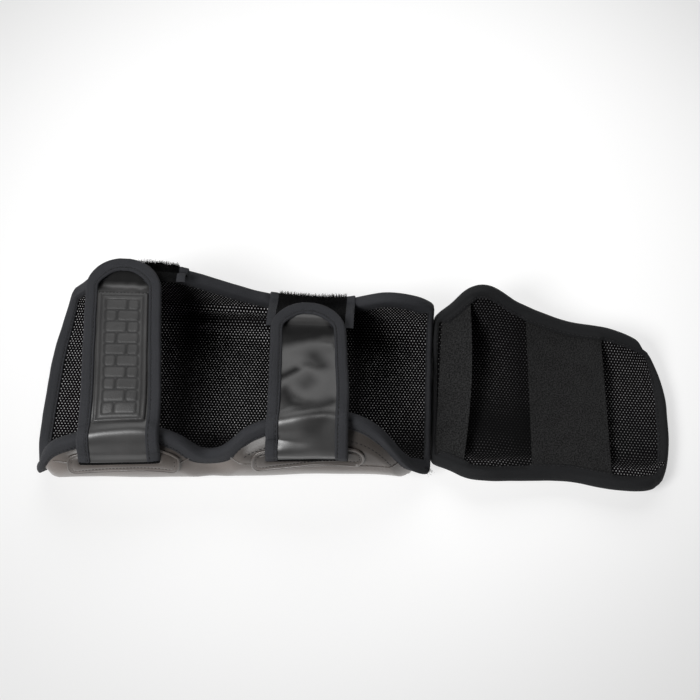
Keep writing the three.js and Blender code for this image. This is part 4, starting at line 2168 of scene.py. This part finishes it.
# Stations of each half with the columns of their sections.
SHIN_ROWS = (
    (-241, 50, 95, 84, 87, 85, -3, 4, 14, 14),
    (-232, 49.5, 100, 87, 95, 90, -3, 1, 11, 9),
    (-223, 49, 105, 89, 100, 97, -3, 0, 8, 3),
    (-211, 48.5, 108, 91, 104, 107, -3, 0, 5, 0.4),
    (-198, 48, 110, 92, 108, 115, -3, 0, 2, 0),
    (-172, 47, 113, 92, 111, 123, -3, 0, 0, 0),
    (-142, 46, 113, 92, 110, 122, -3, 0, 0, 0),
    (-124, 45, 110, 92, 101, 116, -3, 0, 0, 0),
    (-108, 44, 106, 92, 86, 108, -3, 0, 0, 0),
    (-92, 43, 108, 92, 86, 100, -3, 0, 0, 0),
    (-72, 42, 111, 92, 105, 91, -3, 0, 0, 0),
    (-35, 41, 113, 92, 118, 84, -3, 0, 0, 0),
    (0, 40, 111, 92, 121, 86.5, -3, 0, 0, 0),
    (30, 39, 101, 92, 109, 99, -3, 0, 0, 2),
    (54, 39, 88, 88, 77, 94, -3, 0, 0, 9),
    (69, 39, 78, 82, 62, 84, -3, 0, 0, 12),
)

INSTEP_ROWS = (
    (73, 30, 40, 56, 49, 75, -6, 0, 0, 0),
    (85, 31, 38, 58, 54, 86, -6, 0, 0, 0),
    (100, 32, 36, 60, 64, 102, -6, 0, 0, 0),
    (114, 32, 36, 60, 67, 105, -6, 0, 0, 0),
    (140, 33, 34, 58, 61, 92, -8, 0, 0, 0),
    (180, 34, 32, 54, 56, 79, -10, 0, 0, 0),
    (215, 34, 32, 50, 61, 76, -12, 0, 0, 0),
    (240, 34, 32, 48, 60, 70, -13, -2, -4, 0),
    (252, 34, 32, 48, 57, 66, -13, -5, -9, 0),
    (261, 34, 32, 48, 53, 62, -13, -9, -15, 0),
)
SHIN_TABLE = SectionTable(SHIN_ROWS)
INSTEP_TABLE = SectionTable(INSTEP_ROWS)

# Sewn lines of the shin cover: the welt past the flat front, and the stitches below the near edge.
WELT = 40.0
UPPER_SEAM = 17.0


def far_ridges(x: float, s: float) -> tuple[float, float, float]:
    """The two folds along the far wall of the shin and the hollow between them, from 0 to 1.

    Args:
        x: Station along the guard.
        s: Length round the section.

    Returns:
        The low fold, the high fold and the hollow.
    """
    shown = ease(x, -165.0, -115.0) * (1 - ease(x, -50.0, 0.0))
    low = 55.5 - 0.08 * (x + 97.0)
    return tuple(shown * hump(s, *line) for line in ((low, 4.6), (74.5, 3.8), (65.0, 3.6)))


def shin_fold(x: float, s: float) -> float:
    """Folds of the shin lining: two along the far wall, and soft waves elsewhere."""
    low, high, hollow = far_ridges(x, s)
    return 1.4 * hollow - 4.4 * low - 4.2 * high + 0.5 * ripple(x / 31, s / 23, 3.0)


def shin_painted_shading(x: float, s: float) -> float:
    """Painted light and shade on the shin lining's points: painted highlights on the folds, painted
    shade at the wall's foot.

    Args:
        x: Station along the guard.
        s: Length round the section.

    Returns:
        The painted brightness.
    """
    low, high, hollow = far_ridges(x, s)
    tone = 1.0 + 1.3 * (low + high) - 0.65 * hollow
    tone += 0.3 * (1 - ease(x, -222.0, -198.0)) + 0.25 * hump(x, 40.0, 16.0) * hump(s, 45.0, 40.0)
    tone *= 1 - 0.8 * hump(s, -SHIN_TABLE.at(x).base - 9.0, 14.0)
    tone *= 1 - 0.7 * hump(x, -131.0, 11.0)
    return tone * (1 - 0.7 * hump(x, 9.0, 9.0))


def shin_seam(x: float, s: float) -> float:
    """How close a place of the shin cover is to a sewn line, 1 on it.

    Args:
        x: Station along the guard.
        s: Length round the section.

    Returns:
        The closeness, up to 1.
    """
    cut = SHIN_TABLE.at(x)
    welt = hump(abs(s), cut.base + WELT, 2.0)
    return max(welt, hump(s, UPPER_SEAM - cut.near, 1.7) * hump(x, -16.0, 50.0))


def shin_belly(x: float, s: float) -> float:
    """How far the near wall of the shin bulges by the floor, most at the knee end."""
    return 4.2 * hump(-s, SHIN_TABLE.at(x).base + 20.0, 10.0) * (1 - 0.8 * ease(x, -80.0, -10.0))


def instep_fold(x: float, s: float) -> float:
    """Folds of the instep lining: a hollow and a roll along the near wing, and soft waves.

    Args:
        x: Station along the guard.
        s: Length round the section.

    Returns:
        The depth.
    """
    inset = INSTEP_TABLE.at(x).near + s
    shown = ease(x, 90.0, 105.0)
    wing = 2.4 * hump(inset, 27.0, 6.0) - 2.2 * hump(inset, 14.5, 4.5)
    return shown * wing + 0.5 * ripple(x / 29, s / 21, 7.0)


def instep_painted_shading(x: float, s: float) -> float:
    """Painted light and shade on the instep lining's points: painted highlights on the near roll
    and at the toe end.

    Args:
        x: Station along the guard.
        s: Length round the section.

    Returns:
        The painted brightness.
    """
    inset = INSTEP_TABLE.at(x).near + s
    tone = 0.28 * (1 - 0.85 * hump(s, -16.0, 28.0)) + 0.35 * hump(inset, 13.0, 5.0)
    tone *= 1 - 0.5 * hump(x, 144.0, 9.0)
    return tone + 0.4 * ease(x, 205.0, 220.0) * (1 - 0.6 * hump(inset, 24.0, 9.0))


def no_seam(x: float, s: float) -> float:
    """A cover without sewn lines."""
    return 0.0


def calf_bend(q: float, length: float) -> float:
    """Where the calf strap creases past its panel."""
    return length - 23 + 1.8 * ripple(q / 9, 0.0, 6.0)


def calf_painted_shade(p: float, q: float, length: float) -> float:
    """Painted shade on the calf strap: its end past the crease is painted dark, as it lies in
    shade.
    """
    bend = calf_bend(q, length)
    return 0.9 * ease(p, bend + 0.5, bend + 4.0)


def calf_relief(p: float, q: float, length: float) -> float:
    """Relief of the calf strap: past its panel it creases, dips and rises to the end's tape.

    Args:
        p: Length along the strap.
        q: Distance from its middle.
        length: Length of the strap.

    Returns:
        The height.
    """
    bend = calf_bend(q, length)
    dip = 4.2 * ease(p, bend - 9, bend + 1) - 4.2 * ease(p, bend, length - 7)
    return 0.2 * ripple(p / 24, q / 18, 1.0) - dip


@dataclass(frozen=True)
class Fold:
    """A soft crease along a line of a strap's pattern."""

    line: tuple[tuple[float, float], ...]
    width: float
    height: float

    def at(self, p: float, q: float) -> float:
        """Height of the crease at a place of the strap.

        Args:
            p: Length along the strap.
            q: Distance from its middle.

        Returns:
            The height.
        """
        gaps = []
        for (p1, q1), (p2, q2) in zip(self.line, self.line[1:]):
            run_p, run_q = p2 - p1, q2 - q1
            share = clamp(((p - p1) * run_p + (q - q1) * run_q) / (run_p**2 + run_q**2), 0.0, 1.0)
            gaps.append(math.hypot(p - p1 - share * run_p, q - q1 - share * run_q))
        return self.height * hump(min(gaps), 0.0, self.width)


# Creases of the ankle strap.
SAG = ((55.0, -18.0), (47.0, -12.0), (43.5, -3.0), (44.5, 8.0), (49.0, 18.0))
ANKLE_CREASES = (
    Fold(SAG, 4.5, -1.1),
    Fold(((62.0, -21.0), (78.0, -2.0)), 6.0, 0.9),
    Fold(((70.0, -21.0), (78.0, -10.0)), 3.6, -0.9),
    Fold(((16.0, -17.0), (38.0, -3.0)), 9.0, 0.4),
    Fold(((60.0, 12.0), (78.0, 13.0)), 6.0, 0.9),
    Fold(((95.0, -14.0), (96.0, -10.0)), 6.0, 1.0),
    Fold(((103.0, 16.0), (104.0, 14.0)), 5.0, 0.9),
    Fold(((86.0, 7.0), (89.0, 3.0)), 6.0, -1.0),
    Fold(((64.0, -3.0), (68.0, 0.0)), 6.0, -0.8),
    Fold(((30.0, 12.0), (33.0, 6.0)), 7.0, -0.7),
)

# Painted shade along folds of the ankle strap, with a darkness in place of the height.
ANKLE_PAINTED_SHADES = (
    Fold(SAG, 4.2, 0.7),
    Fold(((70.0, -21.0), (78.0, -10.0)), 3.4, 0.85),
    Fold(((85.0, 10.0), (92.0, 5.0)), 7.0, 0.7),
    Fold(((64.0, -3.0), (68.0, 1.0)), 6.0, 0.5),
    Fold(((28.0, 4.0), (35.0, 9.0)), 9.0, 0.5),
)


def ankle_painted_shade(p: float, q: float, length: float) -> float:
    """Painted shade on the ankle strap: in its folds and in the hollow below the end's tape.

    Args:
        p: Length along the strap.
        q: Distance from its middle.
        length: Length of the strap.

    Returns:
        The painted darkness, up to 1.
    """
    start = length - 46 + 0.4 * q + 2 * ripple(q / 8, 0.0, 4.0)
    hollow = ease(p, start, start + 11) * (1 - ease(p, length - 20, length - 16))
    return max([0.85 * hollow, *(fold.at(p, q) for fold in ANKLE_PAINTED_SHADES)])


def ankle_relief(p: float, q: float, length: float) -> float:
    """Relief of the ankle strap: crumpled in the middle, drooping below the end's tape.

    Args:
        p: Length along the strap.
        q: Distance from its middle.
        length: Length of the strap.

    Returns:
        The height.
    """
    creases = sum(fold.at(p, q) for fold in ANKLE_CREASES)
    inside = 1 - ease(abs(q), 18.0, 24.0)
    droop = 1.2 * ease(p, length - 56, length - 44) - 4.4 * ease(p, length - 44, length - 18)
    lip = 3.2 * ease(p, length - 20, length - 13)
    return inside * (creases + droop + lip) + 0.2 * ripple(p / 14, q / 11, 2.0)


@dataclass
class WallSeams:
    """The welt along the near wall of the shin, the stitches above it and a frayed tape end."""

    half: PaddedHalf
    welt: tuple[float, float] = (-222.0, 46.0)
    row: tuple[float, float] = (-74.0, 40.0)
    threads: int = 46

    def on_wall(self, x: float, s: float, h: float) -> Vector:
        """A point over the leather of the wall."""
        return self.half.trough.place(x, s, self.half.skin(x, s) + h)

    def lines(
        self, ends: tuple[float, float], step: float, way: Callable[[float], float], h: float
    ) -> tuple[list[Vector], list[Vector]]:
        """Points along a line on the wall, and the directions out of the leather there.

        Args:
            ends: First and last station.
            step: Wanted distance between points.
            way: Place round the section at a station.
            h: Height over the leather.

        Returns:
            The points and the directions.
        """
        path = evened([(x, way(x)) for x in spread(*ends, 120)], step)
        spots = [self.on_wall(x, s, h) for x, s in path]
        above = [self.on_wall(x, s, h + 1.0) for x, s in path]
        return spots, [(b - a).normalized() for a, b in zip(spots, above)]

    def build(self) -> None:
        """Builds the welt, the stitches and the frayed end."""
        table = self.half.trough.table
        welt = self.lines(self.welt, 2.0, lambda x: -table.at(x).base - WELT, 0.1)
        Piping(0.8).build("shin_pad_welt", *welt, False)
        sewing = Sewing()
        above = self.lines(self.row, Sewing.PITCH, lambda x: UPPER_SEAM - table.at(x).near, 0.15)
        sewing.line(*above)
        sewing.settle("shin_pad_seam_stitches")
        self.build_fray()

    def build_fray(self) -> bpy.types.Object:
        """Builds the loose threads at the cut end of the tape by the ankle.

        Returns:
            The piece.
        """
        draw = random.Random(7)
        trough, mesh = self.half.trough, bmesh.new()
        edge = -trough.table.at(trough.end).near
        for _ in range(self.threads):
            spot = (trough.end + draw.uniform(-5.0, 1.5), edge + draw.uniform(-1.0, 3.0))
            root = trough.place(*spot, draw.uniform(3.0, 8.0))
            way = Vector((draw.uniform(1.0, 5.0), draw.gauss(-2.0, 1.4), draw.gauss(0.0, 1.0)))
            fibre(mesh, to_row(root), to_row(root + way), 0.1 * MM)
        return settle(mesh, "shin_binding_frayed_ends", "pile", Slot.BINDING_TAPE)


def main() -> None:
    """Builds the guard and its stage."""
    logging.basicConfig(level=logging.INFO, format="%(message)s")
    Studio().build()
    ankle_ends = (ANKLE_CORNER, ANKLE_CORNER)
    shin_corners = zip((KNEE_NEAR, KNEE_FAR), ankle_ends)
    instep_corners = zip(ankle_ends, (TOE_CORNER, TOE_CORNER))
    shin = Trough(SHIN_BEND, 18.0, 12.5, SHIN_ROWS, *shin_corners)
    instep = Trough(INSTEP_BEND, 11.5, 8.5, INSTEP_ROWS, *instep_corners)
    bands = (
        ElasticBand("ankle_elastic", 76.5, 98.5, -3.0, instep, bow=4.0),
        ElasticBand("sole_elastic", 149.6, 212.2, 4.2, instep),
    )
    calf = Strap(
        "calf",
        x=-168.8,
        lean=-9.2,
        drops=(17.0, 13.0),
        anchor_x=-166.6,
        anchor_drop=20.0,
        across=((-48.0, 80.0), (0.0, 87.5), (46.0, 93.5), (70.0, 93.0)),
        tab=LoopTab("calf_loop_tab", -160.0, 30.0, (40.0, 29.0, 18.0), (9.0, 16.0)),
        shin=shin,
        relief=calf_relief,
        painted_shade=calf_painted_shade,
    )
    ankle = Strap(
        "ankle",
        x=-25.2,
        lean=-6.0,
        drops=(29.5, 22.0, 14.5),
        anchor_x=-24.5,
        anchor_drop=30.0,
        across=((-41.0, 88.5), (-5.0, 81.0), (30.0, 73.5), (49.0, 69.5)),
        tab=LoopTab("ankle_loop_tab", -29.0, 34.0, (27.0, 22.0, 16.0), (7.0, 14.0, 20.0)),
        shin=shin,
        relief=ankle_relief,
        painted_shade=ankle_painted_shade,
    )
    patches = (calf.held, ankle.held, calf.tab.held(shin), ankle.tab.held(shin))
    upper = PaddedHalf(
        "shin",
        shin,
        fold=shin_fold,
        tone=shin_painted_shading,
        seam=shin_seam,
        leg=8.8,
        ankle_end=shin.end,
        patches=patches,
        tabs=(calf.tab, ankle.tab),
        belly=shin_belly,
    )
    lower = PaddedHalf(
        "instep",
        instep,
        fold=instep_fold,
        tone=instep_painted_shading,
        seam=no_seam,
        leg=7.4,
        ankle_end=instep.start,
        bands=bands,
        edge_finish="foot_tape",
    )
    upper.build()
    lower.build()
    WallSeams(upper).build()
    for band in bands:
        band.build()
    Hinge().build(shin, instep)
    calf.build()
    Badge(calf).build()
    ankle.build()


def write_sizes() -> None:
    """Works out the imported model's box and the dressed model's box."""
    boxes = {"cad": CAD_BOX, "visual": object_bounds()}
    {key: [list(corner) for corner in box] for key, box in boxes.items()}


if __name__ == "__main__":
    main()
    write_sizes()
